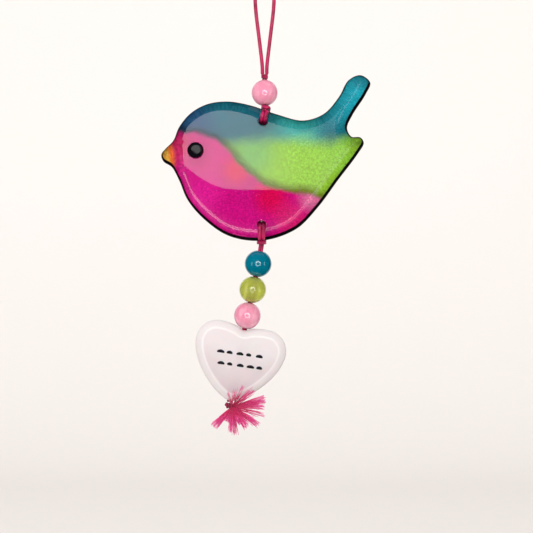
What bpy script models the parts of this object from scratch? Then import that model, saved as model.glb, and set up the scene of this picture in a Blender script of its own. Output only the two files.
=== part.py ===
"""A stained glass bird suncatcher, hung by a loop of satin cord.

Metres, +Z up. The glass faces -Y and hangs in the XZ plane. The origin is at the crown of the loop.
"""

from math import asin, cos, pi, radians, sin, sqrt

import bmesh
import bpy
from mathutils import Matrix, Vector
from mathutils.geometry import delaunay_2d_cdt

MM = 0.001

# Satin cord: its full thickness, and the thickness to which a bore or a hitch squeezes it
STRAND = 1.4 * MM
STRAND_SQUEEZED = 1.0 * MM
STRAND_GAP = 0.25 * MM
CLEARANCE = 0.3 * MM
BORE = 2 * STRAND_SQUEEZED + STRAND_GAP + 2 * CLEARANCE
GLASS_HOLE = 2 * STRAND + STRAND_GAP + 2 * CLEARANCE

# Hanging loop and the knot under it
LOOP_RISE = 34.5 * MM
LOOP_CROWN_RADIUS = 3.6 * MM
KNOT_WIDTH = 2.7 * MM
KNOT_WRAPS = 2
KNOT_HEIGHT = KNOT_WRAPS * STRAND_SQUEEZED

# Round beads
BEAD = 9.9 * MM
BEAD_SPACING = 0.3 * MM
TOP_BEAD_TO_GLASS = 1.4 * MM

# Glass bird: front domed at its shoulder, back flat
BIRD_LENGTH = 80.5 * MM
BIRD_THICKNESS = 6.0 * MM
BIRD_EDGE = 1.8 * MM
BIRD_SHOULDER = 4.8 * MM
BIRD_BACK_CHAMFER = 0.4 * MM
BIRD_HANG_SHIFT = -0.6 * MM
TOP_HOLE_DEPTH = 4.7 * MM
BOTTOM_HOLE_DEPTH = 5.8 * MM
TOP_HITCH_LEAN = radians(12)
EYE_DIAMETER = 6.3 * MM
EYE_HEIGHT = 1.9 * MM
EYE_RIM = 0.5 * MM

# Lower string, which leans to the left
STRING_LEAN = radians(11.8)
NECK_DROP = 2.7 * MM
NECK_TO_BEAD = 1.5 * MM

# Glass heart, domed on both faces
HEART_WIDTH = 35.1 * MM
HEART_THICKNESS = 7.0 * MM
HEART_EDGE = 3.0 * MM
HEART_SHOULDER = 3.2 * MM
HEART_GAP = 0.6 * MM

# Frayed end under the heart
END_KNOT_RADIUS = 1.5 * MM
END_KNOT_LENGTH = 4.4 * MM
BUNCH_HUB = Vector((1.6 * MM, -0.7 * MM, -0.2 * MM))
BUNCH_ROOT = 1.3 * MM
BUNCH_DEPTH = 1.0 * MM

# Bird outline from the beak clockwise, in shares of the bird's length, from the beak's tip
BIRD_OUTLINE = (
    (0.000, 0.000),
    (0.020, 0.028),
    (0.057, 0.066),
    (0.086, 0.133),
    (0.142, 0.199),
    (0.219, 0.241),
    (0.315, 0.254),
    (0.425, 0.236),
    (0.549, 0.194),
    (0.679, 0.163),
    (0.780, 0.196),
    (0.851, 0.276),
    (0.897, 0.356),
    (0.954, 0.380),
    (1.000, 0.345),
    (0.978, 0.289),
    (0.916, 0.192),
    (0.889, 0.127),
    (0.910, 0.086),
    (0.953, 0.082),
    (0.969, 0.056),
    (0.938, 0.001),
    (0.847, -0.120),
    (0.746, -0.256),
    (0.645, -0.356),
    (0.483, -0.411),
    (0.324, -0.389),
    (0.205, -0.309),
    (0.126, -0.217),
    (0.086, -0.124),
    (0.049, -0.058),
    (0.010, -0.032),
)
TOP_HOLE_SHARE = 0.487
BOTTOM_HOLE_SHARE = 0.480
EYE_SHARES = (0.166, 0.016)

# Right half of the heart's outline from its notch to its tip, in shares of its width
HEART_HALF = (
    (0.000, 0.000),
    (0.082, 0.035),
    (0.219, 0.064),
    (0.351, 0.046),
    (0.455, -0.038),
    (0.500, -0.164),
    (0.482, -0.296),
    (0.411, -0.450),
    (0.291, -0.603),
    (0.143, -0.729),
    (0.000, -0.790),
)

# Bunches of the frayed end: direction in the front view, lean to the front, length, width at the end
BUNCHES = (
    (radians(10), radians(8), 12.9 * MM, 2.9 * MM),
    (radians(27), radians(30), 11.8 * MM, 0.9 * MM),
    (radians(52), radians(42), 12.0 * MM, 1.2 * MM),
    (radians(-16), radians(6), 12.8 * MM, 1.1 * MM),
    (radians(-41), radians(12), 12.3 * MM, 2.3 * MM),
    (radians(-80), radians(4), 10.0 * MM, 2.0 * MM),
    (radians(-95), radians(18), 9.4 * MM, 1.4 * MM),
    (radians(-126), radians(8), 10.0 * MM, 3.0 * MM),
)

SQUEEZED = STRAND_SQUEEZED / 2
FULL = STRAND / 2
SIDE = (STRAND + STRAND_GAP) / 2
SIDE_SQUEEZED = (STRAND_SQUEEZED + STRAND_GAP) / 2


def material(name, colour, roughness, transmission=0.0):
    """A Principled material in the piece's own colour."""
    made = bpy.data.materials.new(name)
    made.use_nodes = True
    shader = made.node_tree.nodes["Principled BSDF"]
    shader.inputs["Base Color"].default_value = (*colour, 1.0)
    shader.inputs["Roughness"].default_value = roughness
    shader.inputs["Metallic"].default_value = 0.0
    shader.inputs["Transmission Weight"].default_value = transmission
    made.diffuse_color = (*colour, 1.0)
    return made


def add(name, data, finish=None, parent=None, place=(0.0, 0.0, 0.0), turn=0.0):
    """An object in the scene, placed in its parent's frame and turned about Y."""
    made = bpy.data.objects.new(name, data)
    bpy.context.scene.collection.objects.link(made)
    made.parent = parent
    made.location = place
    made.rotation_euler = (0.0, turn, 0.0)
    if finish is not None:
        data.materials.append(finish)
    return made


def cutter(name, data, **where):
    """A helper that cuts or joins and isn't part of the model."""
    made = add(name, data, **where)
    made.hide_render = True
    made.display_type = "WIRE"
    return made


def boolean(target, other, operation):
    """A live Boolean between two objects."""
    change = target.modifiers.new(other.name, "BOOLEAN")
    change.object = other
    change.operation = operation


def mesh_of(name, shape, sharp=radians(40)):
    """A mesh from a bmesh, shaded smooth except at its sharp edges."""
    bmesh.ops.recalc_face_normals(shape, faces=shape.faces)
    data = bpy.data.meshes.new(name)
    shape.to_mesh(data)
    shape.free()
    data.shade_smooth()
    data.set_sharp_from_angle(angle=sharp)
    return data


def smooth_curve(points, steps, closed):
    """Points along a centripetal Catmull-Rom curve through the given ones, ends included."""
    count = len(points)
    spans = count if closed else count - 1
    curve = []
    for index in range(spans):
        if closed:
            p0, p1, p2, p3 = (Vector(points[(index + shift) % count]) for shift in (-1, 0, 1, 2))
        else:
            p1, p2 = Vector(points[index]), Vector(points[index + 1])
            p0 = Vector(points[index - 1]) if index else 2 * p1 - p2
            p3 = Vector(points[index + 2]) if index + 2 < count else 2 * p2 - p1
        t1 = sqrt((p1 - p0).length)
        t2 = t1 + sqrt((p2 - p1).length)
        t3 = t2 + sqrt((p3 - p2).length)
        for step in range(steps):
            t = t1 + (t2 - t1) * step / steps
            a1 = p0.lerp(p1, t / t1)
            a2 = p1.lerp(p2, (t - t1) / (t2 - t1))
            a3 = p2.lerp(p3, (t - t2) / (t3 - t2))
            b1 = a1.lerp(a2, t / t2)
            b2 = a2.lerp(a3, (t - t1) / (t3 - t1))
            curve.append(b1.lerp(b2, (t - t1) / (t2 - t1)))
    if not closed:
        curve.append(Vector(points[-1]))
    return curve


def spaced(points, count):
    """The same closed outline as evenly spaced points."""
    loop = points + points[:1]
    total = sum((b - a).length for a, b in zip(loop, loop[1:]))
    step, travelled, even = total / count, 0.0, []
    for a, b in zip(loop, loop[1:]):
        span = (b - a).length
        while len(even) < count and len(even) * step <= travelled + span:
            even.append(a.lerp(b, (len(even) * step - travelled) / span))
        travelled += span
    return even


def reach(outline, start, direction):
    """How far the outline's edge is from a point inside it, in one direction."""
    across = Vector((-direction.y, direction.x))
    found = []
    for a, b in zip(outline, outline[1:] + outline[:1]):
        side_a, side_b = (a - start).dot(across), (b - start).dot(across)
        if side_a * side_b <= 0 and side_a != side_b:
            crossing = a.lerp(b, side_a / (side_a - side_b))
            found.append((crossing - start).dot(direction))
    return min(distance for distance in found if distance > 0)


def edge_distance(outline, point):
    """The shortest distance from a point to the outline."""
    nearest = None
    for a, b in zip(outline, outline[1:] + outline[:1]):
        along = b - a
        share = max(0.0, min(1.0, (point - a).dot(along) / along.length_squared))
        distance = (point - a.lerp(b, share)).length
        nearest = distance if nearest is None else min(nearest, distance)
    return nearest


def inset_points(outline, distance, slack=0.97):
    """Outline points moved inwards, without those that another stretch of the edge is nearer to."""
    kept = []
    for before, point, after in zip(outline[-1:] + outline[:-1], outline, outline[1:] + outline[:1]):
        along = (after - before).normalized()
        moved = point + distance * Vector((along.y, -along.x))
        if edge_distance(outline, moved) >= slack * distance:
            kept.append(moved)
    return kept


def domed_face(outline, edge, height, shoulder, rings=4):
    """A bmesh of the outline's face, rising from its edge over a round shoulder to a flat field.

    The outline runs clockwise in the XZ plane, and the face rises towards -Y.
    """
    spread = list(outline)
    for ring in range(1, rings + 1):
        distance = shoulder * (1 - cos(ring / rings * pi / 2))
        spread += inset_points(outline, distance)[:: 1 if ring < 3 else 2]
    count = len(outline)
    rim = [(index, (index + 1) % count) for index in range(count)]
    flat, _, faces, *_ = delaunay_2d_cdt(spread, rim, [], 1, 1e-7)
    shape = bmesh.new()
    for place in flat:
        share = min(1.0, edge_distance(outline, place) / shoulder)
        rise = edge + (height - edge) * sqrt(1 - (1 - share) ** 2)
        shape.verts.new((place.x, -rise, place.y))
    shape.verts.ensure_lookup_table()
    for face in faces:
        shape.faces.new([shape.verts[index] for index in face])
    return shape


def open_edges(shape):
    """The edges round the shape's opening."""
    return [edge for edge in shape.edges if edge.is_boundary]


def pushed_back(shape, distance):
    """Extrudes the open edges straight back along +Y."""
    made = bmesh.ops.extrude_edge_only(shape, edges=open_edges(shape))["geom"]
    corners = [item for item in made if isinstance(item, bmesh.types.BMVert)]
    bmesh.ops.translate(shape, verts=corners, vec=(0.0, distance, 0.0))
    return corners


def turned(name, profile, segments):
    """A mesh turned about Z from a closed profile of (radius, height) points."""
    shape = bmesh.new()
    corners = [shape.verts.new((radius, 0.0, height)) for radius, height in profile]
    edges = [shape.edges.new(pair) for pair in zip(corners, corners[1:] + corners[:1])]
    bmesh.ops.spin(
        shape, geom=corners + edges, axis=(0, 0, 1), cent=(0, 0, 0), steps=segments, angle=2 * pi, use_merge=True
    )
    bmesh.ops.remove_doubles(shape, verts=shape.verts, dist=1e-7)
    return mesh_of(name, shape)


def tube(name, route, finish=None, closed=False):
    """A cord with round ends along (x, y, z, radius) points."""
    data = bpy.data.curves.new(name, "CURVE")
    data.dimensions = "3D"
    data.bevel_depth = 1.0
    data.bevel_resolution = 2
    data.use_fill_caps = not closed
    spline = data.splines.new("POLY")
    spline.use_cyclic_u = closed
    spline.points.add(len(route) - 1)
    for corner, (x, y, z, radius) in zip(spline.points, route):
        corner.co = (x, y, z, 1.0)
        corner.radius = radius
    return add(name, data, finish)


def placed_route(frame, points):
    """Route points of a local frame as world ones, with their radii."""
    return [(*(frame @ Vector(point[:3])), point[3]) for point in points]


def hitch(rim):
    """Half of a lark's head over the glass: from the middle of its bridge to the leg's neck.

    The frame's origin is the hole's centre, its Z points to the glass's edge, rim away, and -Y is the front.
    """
    back = BIRD_THICKNESS / 2 + CLEARANCE + FULL
    front = -back
    squeezed = 0.9 * SQUEEZED
    return (
        (0.0, -2.5 * MM, rim + 0.95 * MM, FULL),
        (-0.95 * MM, -2.35 * MM, rim + 0.95 * MM, FULL),
        (-1.7 * MM, -1.3 * MM, rim + 0.95 * MM, SQUEEZED),
        (-1.75 * MM, 0.5 * MM, rim + 1.05 * MM, SQUEEZED),
        (-1.7 * MM, 2.3 * MM, rim + 1.05 * MM, SQUEEZED),
        (-1.45 * MM, back - 0.1 * MM, rim + 0.2 * MM, SQUEEZED),
        (-1.05 * MM, back, 0.7 * rim, FULL),
        (-SIDE, back, 1.7 * MM, FULL),
        (-SIDE, 0.8 * back, 0.35 * MM, FULL),
        (-SIDE, 0.3 * back, 0.0, FULL),
        (-SIDE, 0.3 * front, 0.0, FULL),
        (-SIDE, 0.8 * front, 0.35 * MM, FULL),
        (-SIDE, front - 0.1 * MM, 1.6 * MM, FULL),
        (-SIDE, 0.84 * front, rim - 1.9 * MM, FULL),
        (-0.62 * MM, -1.6 * MM, rim - 0.15 * MM, squeezed),
        (-0.56 * MM, -0.7 * MM, rim + 0.9 * MM, squeezed),
    )


def mirrored(points):
    """The same points on the other side of the frame's YZ plane, in the opposite order."""
    return [(-x, y, z, radius) for x, y, z, radius in reversed(points)]


def looped_cord(name, finish, hitch_frame, rim, line_frame, near, far):
    """One cord: a lark's head over the glass, and both legs along a straight line from near to far."""
    half = placed_route(hitch_frame, hitch(rim))
    other = placed_route(hitch_frame, mirrored(hitch(rim)))
    legs = []
    for side in (-1, 1):
        offset = side * SIDE_SQUEEZED
        leg = ((offset, 0.0, near, SQUEEZED), (offset, 0.0, 0.5 * (near + far), SQUEEZED), (offset, 0.0, far, SQUEEZED))
        legs.append(placed_route(line_frame, leg))
    left, right = legs if hitch_frame.col[0].x * line_frame.col[0].x > 0 else legs[::-1]
    bend = right[:0:-1][1:] + right[:1] + other[:-1] + half + left[:1] + left[1:-1]
    curve = smooth_curve([Vector(point) for point in bend[1:-1]], 3, closed=False)
    return tube(name, [right[-1]] + [tuple(point) for point in curve] + [left[-1]], finish)


def bird_outline(count):
    """The bird's outline in metres from its top hole's centre, with the places of hole, hole and eye."""
    shares = smooth_curve(BIRD_OUTLINE, 8, closed=True)
    scaled = spaced([BIRD_LENGTH * point for point in shares], count)
    middle = BIRD_LENGTH * Vector((TOP_HOLE_SHARE, 0.0))
    top = middle + Vector((0.0, reach(scaled, middle, Vector((0, 1))) - TOP_HOLE_DEPTH))
    middle = BIRD_LENGTH * Vector((BOTTOM_HOLE_SHARE, 0.0))
    bottom = middle - Vector((0.0, reach(scaled, middle, Vector((0, -1))) - BOTTOM_HOLE_DEPTH))
    eye = BIRD_LENGTH * Vector(EYE_SHARES)
    return [point - top for point in scaled], bottom - top, eye - top


def glass_bird(finish, frame, outline, holes):
    """The bird's glass: a domed front, a flat back with a small chamfer, and a hole for each cord."""
    half = BIRD_THICKNESS / 2
    shape = domed_face(outline, BIRD_EDGE - half, half, BIRD_SHOULDER)
    pushed_back(shape, BIRD_EDGE - BIRD_BACK_CHAMFER)
    made = bmesh.ops.extrude_edge_only(shape, edges=open_edges(shape))["geom"]
    rim = [item for item in made if isinstance(item, bmesh.types.BMVert)]
    for corner in rim:
        place = Vector((corner.co.x, corner.co.z))
        index = min(range(len(outline)), key=lambda nearest: (outline[nearest] - place).length)
        along = outline[(index + 1) % len(outline)] - outline[index - 1]
        inwards = BIRD_BACK_CHAMFER * Vector((along.y, -along.x)).normalized()
        corner.co = (place.x + inwards.x, half, place.y + inwards.y)
    bmesh.ops.edgeloop_fill(shape, edges=open_edges(shape))
    bird = add("bird", mesh_of("bird", shape), finish, frame)
    for index, hole in enumerate(holes):
        drill = bmesh.new()
        bmesh.ops.create_cone(
            drill,
            cap_ends=True,
            segments=20,
            radius1=GLASS_HOLE / 2,
            radius2=GLASS_HOLE / 2,
            depth=2 * BIRD_THICKNESS,
            matrix=Matrix.Translation((hole.x, 0, hole.y)) @ Matrix.Rotation(pi / 2, 4, "X"),
        )
        name = f"hole_cutter_{index + 1}"
        boolean(bird, cutter(name, mesh_of(name, drill), parent=frame), "DIFFERENCE")
    return bird


def eye(finish, frame, centre):
    """A low black dome that sits on the glass's flat field."""
    radius = EYE_DIAMETER / 2
    steps = 6
    dome = [
        (radius * cos(step / steps * pi / 2), EYE_RIM + (EYE_HEIGHT - EYE_RIM) * sin(step / steps * pi / 2))
        for step in range(steps + 1)
    ]
    shape_profile = [(0.0, 0.0), (radius, 0.0)] + dome[:-1] + [(0.0, EYE_HEIGHT)]
    made = add("eye", turned("eye", shape_profile, 24), finish, frame)
    made.location = (centre.x, -(BIRD_THICKNESS / 2 + CLEARANCE), centre.y)
    made.rotation_euler = (pi / 2, 0.0, 0.0)
    return made


def bead_mesh(name, segments=20, steps=9):
    """A round bead with a bore along Z."""
    mouth = pi / 2 - asin(BORE / BEAD)
    angles = [mouth * (1 - 2 * step / steps) for step in range(steps + 1)]
    return turned(name, [(BEAD / 2 * cos(angle), BEAD / 2 * sin(angle)) for angle in angles], segments)


def heart_outline(count):
    """The heart's outline from its notch, clockwise seen from the front."""
    left = [(-across, along) for across, along in HEART_HALF[-2:0:-1]]
    shares = smooth_curve(HEART_HALF + tuple(left), 8, closed=True)
    return spaced([HEART_WIDTH * point for point in shares], count)


def glass_heart(finish, frame, below):
    """A heart domed on both faces, with a bore from its notch to its tip."""
    outline = heart_outline(72)
    half = HEART_THICKNESS / 2
    shape = domed_face(outline, HEART_EDGE / 2, half, HEART_SHOULDER, rings=3)
    pushed_back(shape, HEART_EDGE / 2)
    for corner in {corner for edge in open_edges(shape) for corner in edge.verts}:
        corner.co.y = 0.0
    bmesh.ops.mirror(shape, geom=shape.verts[:] + shape.edges[:] + shape.faces[:], axis="Y", merge_dist=1e-7)
    heart = add("heart", mesh_of("heart", shape), finish, frame, (0.0, 0.0, -below))
    drill = bmesh.new()
    bmesh.ops.create_cone(
        drill, cap_ends=True, segments=16, radius1=BORE / 2, radius2=BORE / 2, depth=3 * HEART_WIDTH
    )
    boolean(heart, cutter("heart_bore", mesh_of("heart_bore", drill), parent=heart), "DIFFERENCE")
    return heart


def loop_route(top, bottom):
    """The free loop: up the left strand, round the crown and down the right one."""
    arc = [
        (-LOOP_CROWN_RADIUS * cos(step / 8 * pi), 0.0, top - LOOP_CROWN_RADIUS * (1 - sin(step / 8 * pi)), FULL)
        for step in range(9)
    ]
    shoulder = top - 2.4 * LOOP_CROWN_RADIUS
    middle = 0.5 * (shoulder + bottom)
    half = [
        (-SIDE, 0.0, bottom, FULL),
        (-1.1 * SIDE, 0.0, bottom + 2 * STRAND, FULL),
        (-2.4 * SIDE, 0.0, middle, FULL),
        (-0.95 * LOOP_CROWN_RADIUS, 0.0, shoulder, FULL),
    ]
    points = half + arc + mirrored(half)
    return [tuple(point) for point in smooth_curve([Vector(point) for point in points], 2, closed=False)]


def knot_mesh(name, steps=5):
    """A tight knot: turns of squeezed cord, one on the other, turned about Z."""
    inner = KNOT_WIDTH / 2 - SQUEEZED
    profile = [(0.0, KNOT_HEIGHT / 2)]
    for wrap in range(KNOT_WRAPS):
        middle = KNOT_HEIGHT / 2 - SQUEEZED * (2 * wrap + 1)
        for step in range(steps):
            angle = pi * ((step + 0.5) / steps - 0.5)
            profile.append((inner + SQUEEZED * cos(angle), middle - SQUEEZED * sin(angle)))
    profile.append((0.0, -KNOT_HEIGHT / 2))
    return turned(name, profile, 14)


def frayed_end(finish, frame, below):
    """The end knot and the bunches of loose fibres that fan out from it."""
    shape = bmesh.new()
    bmesh.ops.create_icosphere(shape, subdivisions=2, radius=END_KNOT_RADIUS)
    stretch = END_KNOT_LENGTH / (2 * END_KNOT_RADIUS)
    bmesh.ops.scale(shape, vec=(stretch, 1.0, 1.0), verts=shape.verts)
    bmesh.ops.translate(shape, vec=(END_KNOT_LENGTH / 2 - END_KNOT_RADIUS, 0.0, 0.0), verts=shape.verts)
    made = add("frayed_end", mesh_of("frayed_end", shape, radians(60)), finish, frame, (0.0, 0.0, -below))
    for index, (angle, forward, length, width) in enumerate(BUNCHES):
        bunch = bmesh.new()
        bmesh.ops.create_cone(
            bunch,
            cap_ends=True,
            segments=8,
            radius1=BUNCH_ROOT / 2,
            radius2=width / 2,
            depth=length,
            matrix=Matrix.Translation((0, 0, length / 2)),
        )
        bmesh.ops.scale(bunch, vec=(1.0, BUNCH_DEPTH / max(width, BUNCH_DEPTH), 1.0), verts=bunch.verts)
        turn = Matrix.Rotation(pi / 2 - angle - STRING_LEAN, 4, "Y") @ Matrix.Rotation(forward, 4, "X")
        bmesh.ops.transform(bunch, matrix=turn, verts=bunch.verts)
        name = f"bunch_{index + 1}"
        helper = cutter(name, mesh_of(name, bunch), parent=made, place=BUNCH_HUB)
        boolean(made, helper, "UNION")
    return made


def build():
    """Clears the scene and models the suncatcher from its loop down."""
    for old in list(bpy.data.objects):
        bpy.data.objects.remove(old, do_unlink=True)

    cord = material("satin_cord", (0.56, 0.01, 0.09), 0.35)
    pink = material("pink_glass", (0.93, 0.36, 0.48), 0.2, 0.4)
    teal = material("teal_glass", (0.0, 0.19, 0.26), 0.15, 0.4)
    green = material("green_glass", (0.37, 0.46, 0.04), 0.2, 0.4)
    stained = material("stained_glass", (0.55, 0.05, 0.25), 0.08, 0.3)
    black = material("black_glass", (0.01, 0.01, 0.012), 0.08)
    frosted = material("frosted_glass", (0.83, 0.78, 0.81), 0.4, 0.3)

    knot_at = -LOOP_RISE
    bead_at = knot_at - KNOT_HEIGHT / 2 - CLEARANCE - BEAD / 2
    glass_top = bead_at - BEAD / 2 - TOP_BEAD_TO_GLASS
    top_hole = Vector((BIRD_HANG_SHIFT, 0.0, glass_top - TOP_HOLE_DEPTH))

    knot_top = knot_at + KNOT_HEIGHT / 2
    tube("hanging_loop", loop_route(0.0, knot_top + CLEARANCE), cord)
    add("hanging_knot", knot_mesh("hanging_knot"), cord, place=(0.0, 0.0, knot_at))
    add("top_bead", bead_mesh("top_bead"), pink, place=(0.0, 0.0, bead_at))

    bird_frame = add("bird_frame", None, place=top_hole)
    outline, bottom_offset, eye_offset = bird_outline(104)
    glass_bird(stained, bird_frame, outline, (Vector((0.0, 0.0)), bottom_offset))
    eye(black, bird_frame, eye_offset)

    lean = Vector((sin(TOP_HITCH_LEAN), cos(TOP_HITCH_LEAN)))
    upper_frame = Matrix.Translation(top_hole) @ Matrix.Rotation(TOP_HITCH_LEAN, 4, "Y")
    upper_rim = reach(outline, Vector((0.0, 0.0)), lean)
    bead_frame = Matrix.Translation((0.0, 0.0, bead_at))
    knot_bottom = knot_at - KNOT_HEIGHT / 2 - bead_at
    looped_cord("upper_cord", cord, upper_frame, upper_rim, bead_frame, -0.42 * BEAD, knot_bottom - CLEARANCE)

    bottom_hole = top_hole + Vector((bottom_offset.x, 0.0, bottom_offset.y))
    neck = bottom_hole - Vector((0.0, 0.0, BOTTOM_HOLE_DEPTH + NECK_DROP))
    string_frame = add("string_frame", None, place=neck, turn=STRING_LEAN)
    first = NECK_TO_BEAD + BEAD / 2
    for index, (name, finish) in enumerate((("teal_bead", teal), ("green_bead", green), ("pink_bead", pink))):
        below = first + index * (BEAD + BEAD_SPACING)
        add(name, bead_mesh(name), finish, string_frame, (0.0, 0.0, -below))
    notch_at = first + 2 * (BEAD + BEAD_SPACING) + BEAD / 2 + HEART_GAP
    glass_heart(frosted, string_frame, notch_at)
    tip_at = notch_at - HEART_WIDTH * HEART_HALF[-1][1]
    end_at = tip_at + END_KNOT_RADIUS + 2 * CLEARANCE
    frayed_end(cord, string_frame, end_at)

    lower_frame = Matrix.Translation(bottom_hole) @ Matrix.Rotation(pi, 4, "Y")
    line_frame = Matrix.Translation(neck) @ Matrix.Rotation(STRING_LEAN, 4, "Y")
    looped_cord("lower_cord", cord, lower_frame, BOTTOM_HOLE_DEPTH, line_frame, -first, -(tip_at + CLEARANCE))


build()
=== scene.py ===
"""A stained glass bird suncatcher on a loop of satin cord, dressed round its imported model.

Metres, +Z up. The glass faces -Y, and the origin is at the crown of the loop.
"""

import logging
from collections.abc import Sequence
from dataclasses import dataclass, field
from enum import Enum
from math import asin, cos, pi, radians, sin, sqrt
from random import Random

import bmesh
import bpy
import numpy as np
from mathutils import Matrix, Vector
from mathutils.geometry import delaunay_2d_cdt


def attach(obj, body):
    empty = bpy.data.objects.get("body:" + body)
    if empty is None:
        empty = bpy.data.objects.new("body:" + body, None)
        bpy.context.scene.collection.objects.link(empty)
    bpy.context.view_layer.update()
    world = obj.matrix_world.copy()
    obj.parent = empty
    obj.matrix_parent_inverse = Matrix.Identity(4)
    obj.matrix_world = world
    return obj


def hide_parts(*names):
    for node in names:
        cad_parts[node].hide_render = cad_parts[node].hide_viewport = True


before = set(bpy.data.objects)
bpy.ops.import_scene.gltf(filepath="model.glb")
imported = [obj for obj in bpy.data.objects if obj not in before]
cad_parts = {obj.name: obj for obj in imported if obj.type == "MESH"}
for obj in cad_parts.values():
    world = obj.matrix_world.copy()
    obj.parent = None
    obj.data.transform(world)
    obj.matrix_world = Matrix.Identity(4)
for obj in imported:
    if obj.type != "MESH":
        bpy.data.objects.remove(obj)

log = logging.getLogger("suncatcher")

MM = 0.001
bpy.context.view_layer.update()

# Steps round a cord hole, the share by which its rim may be missed, and how near two vertices are one
RIM_POINTS = 36
RIM_MARGIN = 0.02
WELD = 1e-7

# Satin cord: its thickness, and the thickness to which a bore or a hitch squeezes it
STRAND = 1.4 * MM
SQUEEZED = 1.0 * MM
STRAND_GAP = 0.25 * MM
SIDE = (STRAND + STRAND_GAP) / 2
SIDE_SQUEEZED = 0.98 * SQUEEZED / 2

# Places that the model has: the knot and the top bead, the glass's holes and its eye, and the lower string
KNOT = Vector((0.0, 0.0, -34.5 * MM))
TOP_BEAD = Vector((0.0, 0.0, -40.75 * MM))
BEAK_TIP = Vector((-39.8035 * MM, -64.4502 * MM))
TOP_HOLE = Vector((-0.6 * MM, -51.8 * MM))
BOTTOM_HOLE = Vector((-1.1635 * MM, -91.7242 * MM))
EYE = Vector((-26.4405 * MM, -63.1622 * MM))
NECK = Vector((-1.1635 * MM, 0.0, -100.2242 * MM))
STRING_LEAN = radians(11.8)
STRING = Matrix.Translation(NECK) @ Matrix.Rotation(STRING_LEAN, 4, "Y")
HITCH_LEAN = radians(12)
FIRST_BEAD = 6.45 * MM
BEAD_STEP = 10.2 * MM


class Slot(Enum):
    """The record's material slots."""

    CORD = "satin_cord"
    PINK = "pink_glass"
    TEAL = "teal_glass"
    GREEN = "green_glass"
    STAINED = "stained_glass"
    BLACK = "black_glass"
    FROSTED = "frosted_glass"


def linear(colour: str) -> tuple[float, float, float, float]:
    """An sRGB hex colour as linear RGBA.

    Args:
        colour: six hex digits, with or without a leading #.

    Returns:
        Red, green, blue and an alpha of 1.
    """
    digits = colour.lstrip("#")
    shares = [int(digits[place : place + 2], 16) / 255 for place in (0, 2, 4)]
    return (*(s / 12.92 if s <= 0.04045 else ((s + 0.055) / 1.055) ** 2.4 for s in shares), 1.0)


def fill(tree: bpy.types.NodeTree, node: bpy.types.Node, inputs: dict) -> None:
    """Gives a node's inputs their links and their plain values.

    Args:
        tree: the node tree.
        node: the node.
        inputs: by input, a plain value, a socket, or a node whose first output is meant.
    """
    for place, value in inputs.items():
        if isinstance(value, bpy.types.Node):
            value = value.outputs[0]
        if isinstance(value, bpy.types.NodeSocket):
            tree.links.new(value, node.inputs[place])
        else:
            node.inputs[place].default_value = value


def add_node(
    tree: bpy.types.NodeTree, kind: str, inputs: dict | None = None, **settings: str
) -> bpy.types.Node:
    """Adds a node with its settings, its plain values and its links.

    Args:
        tree: the node tree.
        kind: the node's type name without its "ShaderNode".
        inputs: what goes to its inputs, as for fill.
        settings: the node's own properties.

    Returns:
        The node.
    """
    made = tree.nodes.new("ShaderNode" + kind)
    for name, value in settings.items():
        setattr(made, name, value)
    fill(tree, made, inputs or {})
    return made


@dataclass(frozen=True)
class Finish:
    """A Principled finish in one colour, which the finishes below add their patterns to."""

    name: str
    colour: str
    roughness: float
    ior: float = 1.5
    transmission: float = 0.0
    coat: float = 0.0
    sheen: float = 0.0
    subsurface: float = 0.0
    specular: float = 0.5

    def pattern(self, tree: bpy.types.NodeTree) -> dict:
        """What the pattern gives to the shader's inputs: nothing in a plain finish."""
        return {}

    def material(self) -> bpy.types.Material:
        """The material, with its pattern linked over its plain values.

        Returns:
            The material.
        """
        made = bpy.data.materials.new(self.name)
        made.use_nodes = True
        tree = made.node_tree
        shader = tree.nodes["Principled BSDF"]
        plain = {
            "Base Color": linear(self.colour),
            "Roughness": self.roughness,
            "IOR": self.ior,
            "Transmission Weight": self.transmission,
            "Coat Weight": self.coat,
            "Coat Roughness": 0.05,
            "Sheen Weight": self.sheen,
            "Sheen Roughness": 0.4,
            "Subsurface Weight": self.subsurface,
            "Subsurface Scale": 1.5 * MM,
            "Specular IOR Level": self.specular,
        }
        fill(tree, shader, plain)
        fill(tree, shader, self.pattern(tree))
        return made


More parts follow.
